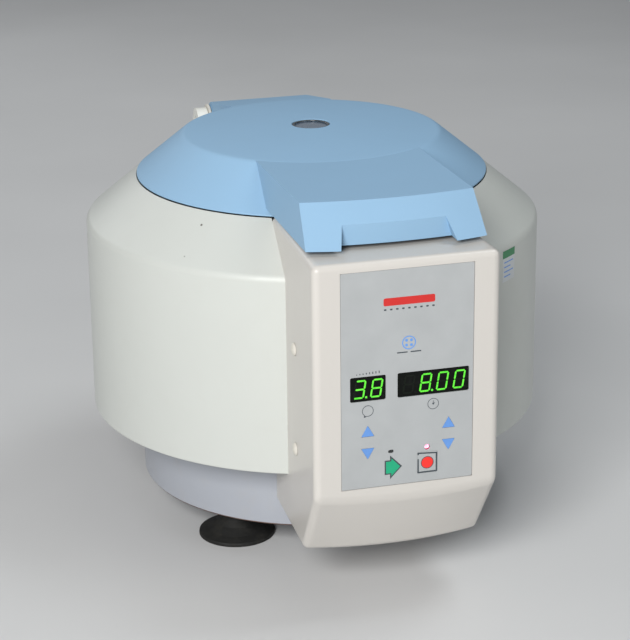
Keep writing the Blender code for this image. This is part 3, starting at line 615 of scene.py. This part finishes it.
# ---- lid ----------------------------------------------------------------------------
def nose_sections(inset, low, columns):
    sections = []
    for s in across(columns):
        front_top = -0.2144 + 0.0066 * s * s + inset * 1.3
        front_low = -0.243 + 0.01 * s * s + inset * 1.3
        slope = (front_top - front_low) / (NOSE_TOP_Z - NOSE_BASE_Z)
        front_at_low = front_low - slope * (NOSE_BASE_Z - low)
        half_top, half_low, top = 0.0657 - inset, 0.068 - inset, NOSE_TOP_Z - inset
        sections.append([
            at(half_top * s, NOSE_BACK, top - NOSE_SINK), at(half_top * s, front_top, top),
            at(half_low * s, front_at_low, low), at(half_low * s, NOSE_BACK, low)])
    return sections


def grip_solid(near, far, spread=0.0, low=0.0):
    """The finger recess's shape, between two depths behind its curved wall."""
    sections = []
    bottom = NOSE_BASE_Z - 0.001 - low
    for s in across(16):
        wall = GRIP_BACK + GRIP_BOW * s * s
        top = (GRIP_HALF + spread) * s
        base = (GRIP_HALF + GRIP_FLARE + spread) * s
        sections.append([at(top, wall + far, GRIP_TOP), at(top, wall + near, GRIP_TOP),
                         at(base, wall + near, bottom), at(base, wall + far, bottom)])
    return loft(sections)


def crown_line(drop, inner_r):
    """The lid's crown from the viewport out, lowered by a drop."""
    points = []
    for i in range(12):
        radius = inner_r + (LID_FLAT_R - inner_r) * i / 11
        rise = (LID_CROWN_Z - LID_FLAT_Z) * (1 - (radius / LID_FLAT_R) ** 2)
        points.append((radius - 0.45 * drop * (i == 11), LID_FLAT_Z + rise - drop))
    return points


def make_lid():
    boss_low, ledge, boss_r, sight_r = 0.3045, 0.3118, 0.019, 0.0133
    crown = crown_line(0, VIEWPORT_R)
    crown[0] = (*crown[0], 0.0006)
    crown[-1] = (*crown[-1], 0.009)
    outline = filleted([
        *crown, (LID_RIM_R, LID_RIM_Z + 0.001, 0.0007), (LID_RIM_R, LID_RIM_Z),
        (boss_r + 0.001, boss_low), (sight_r, boss_low), (sight_r, ledge), (VIEWPORT_R, ledge)])
    lid = turned("lid_top", outline, FINE, AXIS, BLUE, fillet=False)
    reach, z = HINGE_REACH, HINGE_Z
    ramp = filleted([
        (0.06, 0.3112), (0.0975, 0.3112), (reach, z + 0.0166, 0.006),
        (reach + 0.007, z + 0.0125, 0.005), (reach, z - BARREL_R + 0.004), (0.146, 0.2803),
        (0.06, 0.2835)])
    ramp = [(u - reach, v - z) for u, v in ramp]
    hinge = at(0, reach, z)
    rim_inner = LID_RIM_R - 0.0045
    hollow = [*crown_line(LID_WALL, boss_r), (rim_inner, LID_RIM_Z - 0.0002), (rim_inner, 0.268),
              (boss_r, 0.268)]
    room = tool(loft(nose_sections(LID_WALL, 0.27, 24)))
    carved(room, cut(grip_solid(-0.06, LID_WALL - 0.0003, 0.006, 0.02)))
    carved(
        lid,
        union(loft(nose_sections(0.0, NOSE_BASE_Z, 24))),
        union(prism(ramp, 2 * BARREL_HALF - 0.001, shift(hinge) @ SIDE)),
        union(cylinder(BARREL_R, 2 * BARREL_HALF, hinge, ALONG_X, 64)),
        ("DIFFERENCE", room),
        cut(grip_solid(-0.04, 0.0)),
        cut(lathe(hollow, FINE, shift(AXIS))),
        cut(cylinder(PIN_BORE, 0.2, hinge, ALONG_X, 32)))
    softened(lid, 0.0007, 2, 24)
    adopt(lid, "lid", ["lid_shell"])

    turned("viewport_pane", [(0, 0.3145), (0.009, 0.31445), (0.0148, 0.3142, 0.0004),
                             (0.015, ledge + 0.0003, 0.0003), (0, ledge + 0.0003)], 64,
           AXIS, SMOKE, "lid", ["viewport_lens"], closed=False)
    turned("viewport_bezel", [(0.0151, 0.3157, 0.0003), (0.0151, 0.3148, 0.0002),
                              (0.0132, 0.3148, 0.0002), (0.0132, 0.3155, 0.0003)], 64,
           AXIS, SMOKE_DARK, "lid", ["viewport_ring"])
    spun("lid_lining", [
        (0.0215, 0.289, 0.0004), (0.06, 0.289), (0.0605, 0.2886), (0.064, 0.2886),
        (0.0645, 0.289), (0.11, 0.289, 0.004), (0.129, 0.285, 0.0004),
        (0.129, 0.2835, 0.0004), (0.1095, 0.2875, 0.004), (0.0645, 0.2875),
        (0.064, 0.2871), (0.0605, 0.2871), (0.06, 0.2875), (0.0215, 0.2875, 0.0004)],
        "lid_liner", "lid")
    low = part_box("lid_gasket")[0].z
    turned("lid_seal", [
        (0.1285, 0.2832, 0.0006), (0.128, 0.2785, 0.0015), (0.1275, low, 0.0012),
        (0.1235, low, 0.0012), (0.123, 0.2785, 0.0015), (0.1225, 0.2832, 0.0006)], FINE,
        AXIS, RUBBER, "lid", ["lid_gasket"])

    low, high, middle = boxed("latch_hook")
    eye = 0.00475                    # half of the square hole for the bolt
    hook = piece("lid_striker", plate([
        corners(0.016, 0.045, 0.003), corners(2 * eye, 2 * eye, 0.0014, 4, (0, -0.0145))],
        high.y - low.y, shift(middle) @ FACE), ZINC)
    softened(hook, 0.0004)
    adopt(hook, "lid", ["latch_hook"])


# ---- hinge --------------------------------------------------------------------------
def make_hinge():
    outline = [(-0.036, -0.032), (-0.03, -0.013, 0.004), *arc((0, 0), 0.0118, 150, -20, 22),
               (-0.0035, -0.03, 0.004), (-0.01, -0.036)]
    rest = casing_outline(0.0004)
    for side, hand in ((-1, "left"), (1, "right")):
        middle = at(side * BRACKET_X, HINGE_REACH, HINGE_Z)
        # The ears take the paler cream that carries their painted highlight.
        ear = piece(f"hinge_ear_{hand}",
                    prism(filleted(outline), BRACKET_T, shift(middle) @ SIDE), EAR_CREAM_PAINTED_HIGHLIGHT)
        carved(ear, cut(lathe([(0, rest[0][1]), *rest, (0, CASING_LOW.z)], FINE, shift(AXIS),
                              False)),
               cut(cylinder(PIN_BORE, 0.03, middle, ALONG_X, 32)))
        softened(ear, 0.0024, 4)
        adopt(ear, "frame", [f"hinge_bracket_{hand}"])
        turned(f"hinge_spacer_{hand}", [
            (0.0145, 0.0011, 0.0008), (0.0145, -0.0011, 0.0008), (PIN_BORE, -0.0011, 0.0003),
            (PIN_BORE, 0.0011, 0.0003)], 64, at(side * WASHER_X, HINGE_REACH, HINGE_Z), IVORY,
            "frame", [f"hinge_washer_{hand}"], facing=ALONG_X)
    half = (PIN_HIGH.x - PIN_LOW.x) / 2
    turned("hinge_rod", [
        (0, half), (0.0026, half, 0.0003), (0.004, half - 0.0014, 0.0004),
        (0.004, 0.0014 - half, 0.0004), (0.0026, -half, 0.0003), (0, -half)], 40,
        at(0, HINGE_REACH, HINGE_Z), STEEL, "frame", ["hinge_pin"],
        closed=False, facing=ALONG_X)


# ---- feet ---------------------------------------------------------------------------
def make_feet():
    for i in range(1, 5):
        low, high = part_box(f"foot_{i}")
        middle = Vector(((low.x + high.x) / 2, (low.y + high.y) / 2, 0))
        top, rim = high.z, (high.x - low.x) / 2
        turned(f"sucker_{i}", [
            (0, 0.008), (0.0033, 0.008), (0.0033, top), (0.012, top, 0.0012),
            (0.012, 0.019, 0.001), (0.0108, 0.0182, 0.001), (0.012, 0.0166, 0.001),
            (0.0135, 0.014, 0.003), (0.017, 0.0105, 0.004), (0.024, 0.006, 0.004),
            (rim - 0.0004, 0.003, 0.001), (rim, 0, 0.0008), (0.0262, 0, 0.0008),
            (0.02, 0.0018, 0.004), (0.012, 0.0038, 0.004), (0, 0.0048)], 72, middle, RUBBER,
            "frame", [f"foot_{i}"], closed=False)
        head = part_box(f"foot_screw_{i}")[1].z
        screw = turned(f"foot_bolt_{i}", [
            (0, head), (0.0035, head - 0.0002, 0.001), (0.0052, head - 0.0012, 0.001),
            (0.0055, head - 0.0035, 0.0002), (0.003, head - 0.0035), (0.003, 0.0094, 0.0004),
            (0.0024, 0.009), (0, 0.009)], 32, middle, ZINC, closed=False)
        carved(screw, *[cut(block(size, middle + Vector((0, 0, head))))
                        for size in ((0.006, 0.001, 0.003), (0.001, 0.006, 0.003))])
        adopt(screw, "frame", [f"foot_screw_{i}"])


# ---- control panel ------------------------------------------------------------------
def corners(width, height, radius, count=5, middle=(0, 0)):
    """A rectangle's outline with rounded corners."""
    x, y = width / 2 - radius, height / 2 - radius
    points = []
    for sx, sy, start in ((1, 1, 0), (-1, 1, 90), (-1, -1, 180), (1, -1, 270)):
        points += arc((middle[0] + sx * x, middle[1] + sy * y), radius, start, start + 90, count)
    return points


def circle(radius, middle=(0, 0), count=40):
    return arc(middle, radius, 0, 360, count + 1)[:-1]


def plate(loops, thickness, matrix):
    """A flat plate from outlines, the later ones inside the first being holes."""
    curve = bpy.data.curves.new("outline", "CURVE")
    curve.dimensions, curve.fill_mode, curve.extrude = "2D", "BOTH", thickness / 2
    for points in loops:
        spline = curve.splines.new("POLY")
        spline.points.add(len(points) - 1)
        for point, (u, v) in zip(spline.points, points):
            point.co = (u, v, 0, 1)
        spline.use_cyclic_u = True
    guide = bpy.data.objects.new("outline", curve)
    bpy.context.scene.collection.objects.link(guide)
    mesh = bpy.data.meshes.new_from_object(
        guide.evaluated_get(bpy.context.evaluated_depsgraph_get()))
    bpy.data.objects.remove(guide)
    bm = bmesh.new()
    bm.from_mesh(mesh)
    bmesh.ops.transform(bm, matrix=matrix, verts=bm.verts)
    return bm


def stroke(points, width):
    """The outline of a pen line through the points, with square ends."""
    left, right = [], []
    for i, point in enumerate(points):
        here = Vector(point)
        before = (here - Vector(points[i - 1])).normalized() if i else None
        after = (Vector(points[i + 1]) - here).normalized() if i < len(points) - 1 else None
        run = (before + after).normalized() if before and after else (before or after)
        side = Vector((-run.y, run.x))
        reach = width / 2 / (side.dot(Vector((-after.y, after.x))) if before and after else 1.0)
        left.append(tuple(here + side * reach))
        right.append(tuple(here - side * reach))
    return left + right[::-1]


def printed_on(name, loops, x, z, look, body="frame", lift=0.00004):
    """A thin print on the panel's film, lifted towards the user."""
    where = shift(at(x, PANEL_FACE - lift, z)) @ FACE
    return piece(name, plate(loops, 0.00008, where), look, body)


def shifted(points, u, v):
    return [(a + u, b + v) for a, b in points]


def arrow(inset=0.0):
    tail, tip, wing, root, body = -START_LEFT, 0.0066, 0.009, -0.0022, 0.0055
    d = inset
    return [(tail + d, -body + d), (root + d, -body + d), (root + d, -wing + 2.4 * d),
            (tip - 1.45 * d, 0), (root + d, wing - 2.4 * d), (root + d, body - d),
            (tail + d, body - d)]


def triangle(up, grow=0.0):
    half, tall = 0.0048 + 1.7 * grow, 0.0084 + 3 * grow
    points = [(-half, -tall / 2, 0.0003), (half, -tall / 2, 0.0003), (0, tall / 2, 0.0003)]
    return filleted([(u * up, v * up, r) for u, v, r in points], True, 3)


def points_up(node):
    return 1 if "_up" in node else -1


SEGMENTS = {        # which of the seven bars each digit lights
    "0": "abcdef", "3": "abcdg", "8": "abcdefg", " ": ""}


def digit_bars(height, width, pen):
    """The seven bars of a slanted digit, about its middle."""
    slant = math.tan(math.radians(9))
    h, w, gap, tip = height / 2 - pen / 2, width / 2 - pen / 2, 0.00018, pen * 0.45

    def bar(u0, v0, u1, v1):
        start, end = Vector((u0, v0)), Vector((u1, v1))
        run = (end - start).normalized()
        side = Vector((-run.y, run.x)) * pen / 2
        start, end = start + run * gap, end - run * gap
        points = [start, start + run * tip + side, end - run * tip + side, end,
                  end - run * tip - side, start + run * tip - side]
        return [(p.x + p.y * slant, p.y) for p in points]

    return {"a": bar(-w, h, w, h), "b": bar(w, h, w, 0), "c": bar(w, 0, w, -h),
            "d": bar(-w, -h, w, -h), "e": bar(-w, -h, -w, 0), "f": bar(-w, 0, -w, h),
            "g": bar(-w, 0, w, 0)}


def make_displays():
    readings = {
        "speed_display": [("3", -0.0061, True), ("8", 0.0066, False)],
        "time_display": [(" ", -0.0184, False), ("8", -0.0057, True), ("0", 0.007, False),
                         ("0", 0.0197, False)]}
    bars = digit_bars(0.0142, 0.0082, 0.00125)
    for node, digits in readings.items():
        low, high, middle = boxed(node)
        size = high - low
        window = piece(node + "_pane", plate([corners(size.x, size.z, 0.0012)], size.y,
                                             shift(middle) @ FACE), WINDOW)
        softened(window, 0.0002)
        adopt(window, "frame", [node])
        glow, dark = bmesh.new(), bmesh.new()
        for digit, reach, dot in digits:
            matrix = shift((middle.x + reach, low.y - 0.00005, middle.z - 0.0001)) @ FACE
            for key, outline in bars.items():
                prism(outline, 0.00012, matrix, glow if key in SEGMENTS[digit] else dark)
            prism(circle(0.00085, (0.0048, -0.0063), 16), 0.00012, matrix, glow if dot else dark)
        piece(node + "_lit", glow, GREEN_LIT, "frame")
        piece(node + "_unlit", dark, GREEN_DIM, "frame")


def make_keys():
    for node in ARROW_KEYS:
        pad(node + "_pad", triangle(points_up(node)), KEY_DEPTH, boxed(node)[2], KEY_BLUE,
            node + "_cap", [node], 0.00012)

    low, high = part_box("key_start")
    x, z = low.x + START_LEFT, (low.z + high.z) / 2
    pad("start_pad", arrow(), KEY_DEPTH, Vector((x, (low.y + high.y) / 2, z)), INK_DARK,
        "key_start_cap", ["key_start"], 0.00012)
    printed_on("start_face", [filleted([(*p, 0.0002) for p in arrow(0.00085)], True, 3)], x, z,
               KEY_GREEN, "key_start_cap")

    middle = boxed("key_stop")[2]
    pad("stop_pad", corners(*STOP_SIZE, 0.0008), KEY_DEPTH, middle, FILM, "key_stop_cap",
        ["key_stop"], 0.0001)
    pen = 0.00105
    lines = [stroke([(-0.007, 0.003), (-0.007, -0.0076), (0.007, -0.0076),
                     (0.007, 0.0064)], pen),
             stroke([(-0.007, 0.0062), (-0.007, 0.0076), (0.0075, 0.0066)], pen)]
    for i, line in enumerate(lines):
        printed_on(f"stop_frame_{i}", [line], middle.x, middle.z, INK_DARK,
                   "key_stop_cap")
    disc_z = middle.z - 0.0003
    printed_on("stop_ring", [circle(0.0049), circle(0.0044)], middle.x, disc_z, INK_DARK,
               "key_stop_cap")
    turned("stop_disc", [(0, 0.00012), (0.0038, 0.00011, 0.0002), (0.00438, 0.00003),
                         (0.00438, 0), (0, 0)], 48, at(middle.x, PANEL_FACE, disc_z), KEY_RED,
           "key_stop_cap", closed=False, facing=ALONG_Y)


def make_prints():
    printed_on("mark_bar", [corners(0.0385, 0.0058, 0.0012)], 0.0012, 0.2494, INK_CRIMSON)
    dashes = [corners(0.0018, 0.0012, 0.0003, 3, (0.0045 * i, 0)) for i in range(-4, 5)]
    printed_on("mark_dashes", dashes, 0.0012, 0.2437, INK_DARK)
    dots = [circle(0.0052), circle(0.0044)]
    dots += [circle(0.0011, (0.0026 * math.cos(t), 0.0026 * math.sin(t)), 20)
             for t in (math.pi * (k + 0.5) / 2 for k in range(4))]
    printed_on("rotor_icon", dots, 0.001, 0.2174, KEY_BLUE)
    rule = [corners(0.008, 0.0009, 0.0003, 3, (u, 0)) for u in (-0.005, 0.0052)]
    printed_on("icon_rule", rule, 0.001, 0.2103, INK_DARK)
    ramp = [corners(0.0007, 0.0008 + 0.00018 * i, 0.0002, 2, (0.0024 * (i - 3.5), 0.00009 * i))
            for i in range(8)]
    printed_on("speed_ticks", ramp, -0.0297, 0.1968, INK_DARK)

    turn = [stroke(arc((0, 0), 0.0041, 248, 590, 48), 0.00042),
            [(-0.003, -0.005), (-0.0012, -0.0046), (-0.0026, -0.0028)]]
    for i, line in enumerate(turn):
        printed_on(f"turn_icon_{i}", [line], -0.02985, 0.1682, INK_DARK)
    clock = [[circle(0.0043), circle(0.0039)], [stroke([(0, 0.0026), (0, -0.0006)], 0.00042)],
             [circle(0.0007, count=16)], [stroke([(0, 0), (0.0011, 0.001)], 0.00036)]]
    for i, loops in enumerate(clock):
        printed_on(f"clock_icon_{i}", loops, 0.0196, 0.16825, INK_DARK,
                   lift=0.00004 + 0.00001 * i)


def make_panel():
    low, high = PANEL_LOW, PANEL_HIGH
    middle = (low + high) / 2
    loops = [corners(high.x - low.x, high.z - low.z, 0.0012)]
    gap = 0.0003

    def hole(outline, node):
        low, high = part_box(node)
        loops.append(shifted(outline, (low.x + high.x) / 2 - middle.x,
                             (low.z + high.z) / 2 - middle.z))

    for node in ("speed_display", "time_display"):
        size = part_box(node)[1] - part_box(node)[0]
        hole(corners(size.x + 2 * gap, size.z + 2 * gap, 0.0013), node)
    for node in ARROW_KEYS:
        hole(triangle(points_up(node), 0.00015), node)
    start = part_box("key_start")
    loops.append(shifted(arrow(-0.00015), start[0].x + START_LEFT - middle.x,
                         (start[0].z + start[1].z) / 2 - middle.z))
    hole(corners(STOP_SIZE[0] + gap, STOP_SIZE[1] + gap, 0.001), "key_stop")
    hole(corners(0.0042, 0.0026, 0.0012, 6), "run_lamp")
    hole(circle(0.0021), "stop_lamp")
    piece("panel_film", plate(loops, high.y - low.y, shift(middle) @ FACE), FILM, "frame",
          ["control_overlay"])

    _, high, middle = boxed("run_lamp")
    face = PANEL_FACE + AXIS_Y
    pad("run_light", corners(0.0037, 0.0022, 0.00105, 6), high.y - face - 0.0002,
        (middle.x, (high.y + face + 0.0002) / 2, middle.z), LAMP_OFF, "frame",
        ["run_lamp"], segments=3)
    _, high, middle = boxed("stop_lamp")
    turned("stop_light", [(0, 0.0057), (0.0008, 0.0055), (0.0014, 0.005), (0.00175, 0.004),
                          (0.00185, 0.003), (0.00185, 0), (0, 0)], 32,
           Vector((middle.x, high.y, middle.z)), RED_LIT, "frame", ["stop_lamp"],
           closed=False, facing=ALONG_Y)


# ---- chamber and rotor --------------------------------------------------------------
def spun(name, profile, node, body="frame"):
    """A turned sheet steel part about the rotor axis."""
    turned(name, profile, FINE, AXIS, SPUN, body, [node])


def make_chamber():
    low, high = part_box("chamber_floor")
    floor, under = high.z, low.z
    spun("bowl_floor", [
        (0.1337, floor, 0.0004), (0.1337, under, 0.0004), (0.012, under, 0.0004),
        (0.012, floor, 0.0005), (0.025, floor, 0.0006), (0.0256, floor - 0.0005, 0.0006),
        (0.07, floor - 0.0005, 0.0006), (0.0706, floor, 0.0006), (0.1, floor, 0.0005),
        (0.1006, floor - 0.0003, 0.0005), (0.103, floor - 0.0003, 0.0005),
        (0.1036, floor, 0.0005)], "chamber_floor")
    low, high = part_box("chamber_wall")
    inner, outer = 0.134, 0.1355
    beads = [(inner + depth, z + rise, 0.001) for z in (0.176, 0.245)
             for depth, rise in ((0, -0.003), (0.0006, -0.001), (0.0006, 0.001), (0, 0.003))]
    spun("bowl_wall", [(outer, high.z, 0.0004), (outer, low.z, 0.0004), (inner, low.z, 0.0004),
                       *beads, (inner, high.z, 0.0004)], "chamber_wall")
    low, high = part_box("chamber_rim")
    spun("bowl_rim", [(0.142, high.z, 0.0006), (0.142, low.z, 0.0006), (0.122, low.z, 0.0006),
                      (0.122, high.z, 0.0007)], "chamber_rim")


def make_rotor():
    low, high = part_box("rotor_yoke")
    radius, bottom, top = (high.x - low.x) / 2, low.z, high.z
    yoke = turned("swing_yoke", filleted([
        (radius - 0.002, top, 0.0008), (radius, top - 0.002, 0.0008),
        (radius, bottom + 0.002, 0.0008), (radius - 0.002, bottom, 0.0008), (0.0053, bottom),
        (0.0053, top), (0.02, top, 0.0006), (0.0206, top - 0.0006, 0.0006),
        (0.029, top - 0.0006, 0.0006), (0.0296, top, 0.0006)]), 128, AXIS, ALLOY, fillet=False)
    inner, outer, slot_half, pivot_r = 0.036, 0.09, 0.023, 0.06
    middle = at(0, 0, (bottom + top) / 2)
    turns = [Matrix.Rotation(math.tau * i / 4, 4, "Z") for i in range(4)]
    slot = corners(outer - inner, 2 * slot_half, 0.004)
    steps = [cut(prism(slot, 0.03, shift(middle) @ turn @ shift(((inner + outer) / 2, 0, 0))))
             for turn in turns]
    for turn in turns:
        for side in (-1, 1):
            spot = shift(middle) @ turn @ shift((pivot_r, side * (slot_half - 0.0018), 0))
            steps.append(union(cylinder(0.003, 0.0055, (0, 0, 0), spot @ ALONG_Y, 32)))
    carved(yoke, *steps)
    softened(yoke, 0.0005)
    adopt(yoke, "rotor", ["rotor_yoke"])
    make_knob(top + 0.0003)

    drop, rise, cup_r, wall = 0.066, 0.012, 0.0165, 0.002
    profile = filleted([
        (0, wall - drop), (cup_r - wall - 0.003, wall - drop, 0.002),
        (cup_r - wall, wall + 0.004 - drop, 0.002), (cup_r - wall, rise, 0.0006),
        (cup_r + 0.0013, rise, 0.001), (cup_r + 0.0013, rise - 0.003, 0.001),
        (cup_r, rise - 0.0036, 0.001), (cup_r, 0.005 - drop, 0.003), (cup_r - 0.004, -drop, 0.003),
        (0, -drop)], False)
    for i, turn in enumerate(turns, 1):
        pivot = middle + turn @ Vector((pivot_r, 0, 0))
        cup = turned(f"cup_{i}", profile, 64, pivot, STEEL, closed=False, fillet=False)
        root = shift(pivot) @ turn
        ears = [union(prism(corners(0.011, 0.013, 0.003), 0.0065,
                            root @ shift((0, side * (cup_r + 0.0016), 0)) @ ALONG_Y))
                for side in (-1, 1)]
        holes = [cut(cylinder(0.0034, 0.004, (0, 0, 0),
                              root @ shift((0, side * (cup_r + 0.0036), 0)) @ ALONG_Y, 32))
                 for side in (-1, 1)]
        carved(cup, *ears, *holes)
        softened(cup, 0.0003, 2, 30)
        adopt(cup, f"cup_{i}", [f"bucket_{i}"])


def make_knob(foot):
    """The rotor's ribbed knob, standing on a height."""
    sides, ribs, dip = 96, 24, 0.0005
    rows = [(0.0035, 0.25, 0), (0.0092, 0.25, 0), (0.0106, 0.2493, 1), (0.011, 0.2482, 1),
            (0.011, foot + 0.0052, 1), (0.0112, foot + 0.0044, 0), (0.0148, foot + 0.0006, 0),
            (0.015, foot, 0), (0.0043, foot, 0), (0.0043, 0.2475, 0), (0.0035, 0.247, 0)]
    bm = bmesh.new()
    rings = []
    for k in range(sides):
        turn = math.tau * k / sides
        groove = dip * (0.5 - 0.5 * math.cos(ribs * turn))
        rings.append([bm.verts.new(at((r - groove * ribbed) * math.cos(turn),
                                      (r - groove * ribbed) * math.sin(turn), z))
                      for r, z, ribbed in rows])
    skin(bm, rings + rings[:1])
    piece("ribbed_knob", bm, BLACK, "nut", ["rotor_nut"], sharp=40)


# ---- power --------------------------------------------------------------------------
def make_power():
    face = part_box("power_inlet")[1].y - AXIS_Y
    inlet = piece("inlet_frame", prism(corners(0.074, 0.048, 0.005, 6), 0.014,
                                       shift(at(0, face - 0.007, INLET_Z)) @ FACE), BLACK)
    socket_x, socket_z, rocker_x = 0.013, INLET_Z + 0.0035, -0.019
    socket = [(-0.012, -0.00825), (0.012, -0.00825), (0.012, 0.004), (0.0078, 0.00825),
              (-0.0078, 0.00825), (-0.012, 0.004)]
    carved(
        inlet,
        cut(cylinder(0.1844, 0.2, at(0, 0, INLET_Z), sides=FINE)),
        union(block((0.062, 0.03, 0.038), at(0, face - 0.0155, INLET_Z))),
        cut(prism(socket, 0.034, shift(at(socket_x, face, socket_z)) @ FACE)),
        cut(block((0.0246, 0.048, 0.0086), at(socket_x, face, INLET_Z - 0.0125))),
        cut(block((0.0134, 0.026, 0.0214), at(rocker_x, face, INLET_Z))))
    softened(inlet, 0.0004, 2, 30)
    adopt(inlet, "frame", ["power_inlet"])
    for i, (dx, dz) in enumerate(((-0.007, -0.002), (0.007, -0.002), (0, 0.0025))):
        pad(f"contact_{i}", corners(0.002, 0.004, 0.0005, 4), 0.012,
            at(socket_x + dx, face - 0.0112, socket_z + dz), ZINC, "frame")

    low, high, middle = boxed("fuse_drawer")
    fuse = piece("fuse_tray", prism(corners(high.x - low.x, high.z - low.z, 0.0006, 4),
                                    high.y - low.y, shift(middle) @ FACE), BLACK)
    carved(fuse, cut(cylinder(0.005, 0.0026, Vector((middle.x, high.y + 0.0042, high.z)),
                              sides=40)))
    softened(fuse, 0.0003)
    adopt(fuse, "fuse", ["fuse_drawer"])

    lean = shift(at(rocker_x, face - 0.0045, INLET_Z)) @ Matrix.Rotation(math.radians(10), 4, "X")
    bow, thin, short = 0.0102, 0.72, 0.94       # the rocker's curve and its scale each way
    crest = [(-0.006, -0.008), (0.002, -0.0096), *arc((-0.002, 0), bow, -62, -8, 9),
             *arc((-0.002, 0), bow, 8, 62, 9), (0.002, 0.0096), (-0.006, 0.008)]
    crest = [(thin * u, short * v) for u, v in crest]
    rocker = piece("rocker_cap", prism(crest, 0.0122, lean @ SIDE), BLACK)
    softened(rocker, 0.0004)
    adopt(rocker, "rocker", ["power_rocker"])
    for name, loops, height in (
            ("rocker_on", [stroke([(0, -0.0013), (0, 0.0013)], 0.0005)], 0.0046),
            ("rocker_off", [circle(0.0014), circle(0.0009)], -0.0046)):
        tilt = math.asin(height / (bow * short))
        out = thin * (-0.002 + bow * math.cos(tilt))
        turn = Matrix.Rotation(-tilt * 0.8, 4, "X")
        piece(name, plate(loops, 0.0001, lean @ shift((0, out, height)) @ turn @ FACE), IVORY,
              "rocker")


# ---- stage --------------------------------------------------------------------------
def make_stage():
    bm = bmesh.new()
    bmesh.ops.create_grid(bm, x_segments=2, y_segments=2, size=6.0)
    n = Nodes("pale_floor")
    cloud = n.noise(2.0, 3.0)
    look = n.set(Base_Color=n.mix(n.spread(cloud, 0.0, 1.0), srgb(206, 206, 206),
                                  srgb(214, 214, 214)), Roughness=0.9,
                 Specular_IOR_Level=0.1)
    floor = piece("floor", bm, look)
    world = bpy.data.worlds.new("studio")
    bpy.context.scene.world = world
    world.use_nodes = True
    world.node_tree.nodes["Background"].inputs["Color"].default_value = (0.93, 0.96, 1.0, 1.0)
    world.node_tree.nodes["Background"].inputs["Strength"].default_value = 0.2
    for name, place, size, power, colour in (
            ("key_light", (-1.3, -2.2, 1.45), 1.1, 74.0, (1.0, 0.995, 0.985)),
            ("side_light", (1.1, -0.1, 2.3), 1.0, 15.0, (0.93, 0.98, 1.0)),
            ("back_light", (-0.6, 1.8, 1.3), 1.4, 7.0, (0.97, 0.99, 1.0))):
        light = bpy.data.lights.new(name, "AREA")
        light.energy, light.size, light.color = power, size, colour
        lamp = bpy.data.objects.new(name, light)
        bpy.context.scene.collection.objects.link(lamp)
        lamp.location = place
        aim = Vector((0, 0, 0.15)) - lamp.location
        lamp.rotation_mode = "QUATERNION"
        lamp.rotation_quaternion = aim.to_track_quat("-Z", "Y")


def make_camera():
    """A long lens, 1.8 m away, 15 degrees to the left and 19 above."""
    turn, rise, roll = math.radians(-15.2), math.radians(19.42), math.radians(-0.65)
    back = Vector((math.sin(turn) * math.cos(rise), -math.cos(turn) * math.cos(rise),
                   math.sin(rise)))
    right = Vector((math.cos(turn), math.sin(turn), 0))
    up = back.cross(right)
    target = right * 0.0016 + up * 0.0571
    tilt_right = right * math.cos(roll) + up * math.sin(roll)
    tilt_up = up * math.cos(roll) - right * math.sin(roll)
    data = bpy.data.cameras.new("camera")
    data.lens, data.sensor_width, data.sensor_fit = 120.2, 36.0, "AUTO"
    data.clip_start, data.clip_end = 0.05, 20.0
    camera = bpy.data.objects.new("camera", data)
    bpy.context.scene.collection.objects.link(camera)
    spin = Matrix((tilt_right, tilt_up, back)).transposed().to_4x4()
    camera.matrix_world = shift(at(0, 0, CASING_LOW.z) + target + back * 1.805) @ spin
    bpy.context.scene.camera = camera


dress_cad()
make_stage()
make_camera()
make_casing()
make_console()
make_lid()
make_hinge()
make_feet()
make_panel()
make_displays()
make_keys()
make_prints()
make_chamber()
make_rotor()
make_power()

bpy.context.scene.view_settings.view_transform = "Standard"
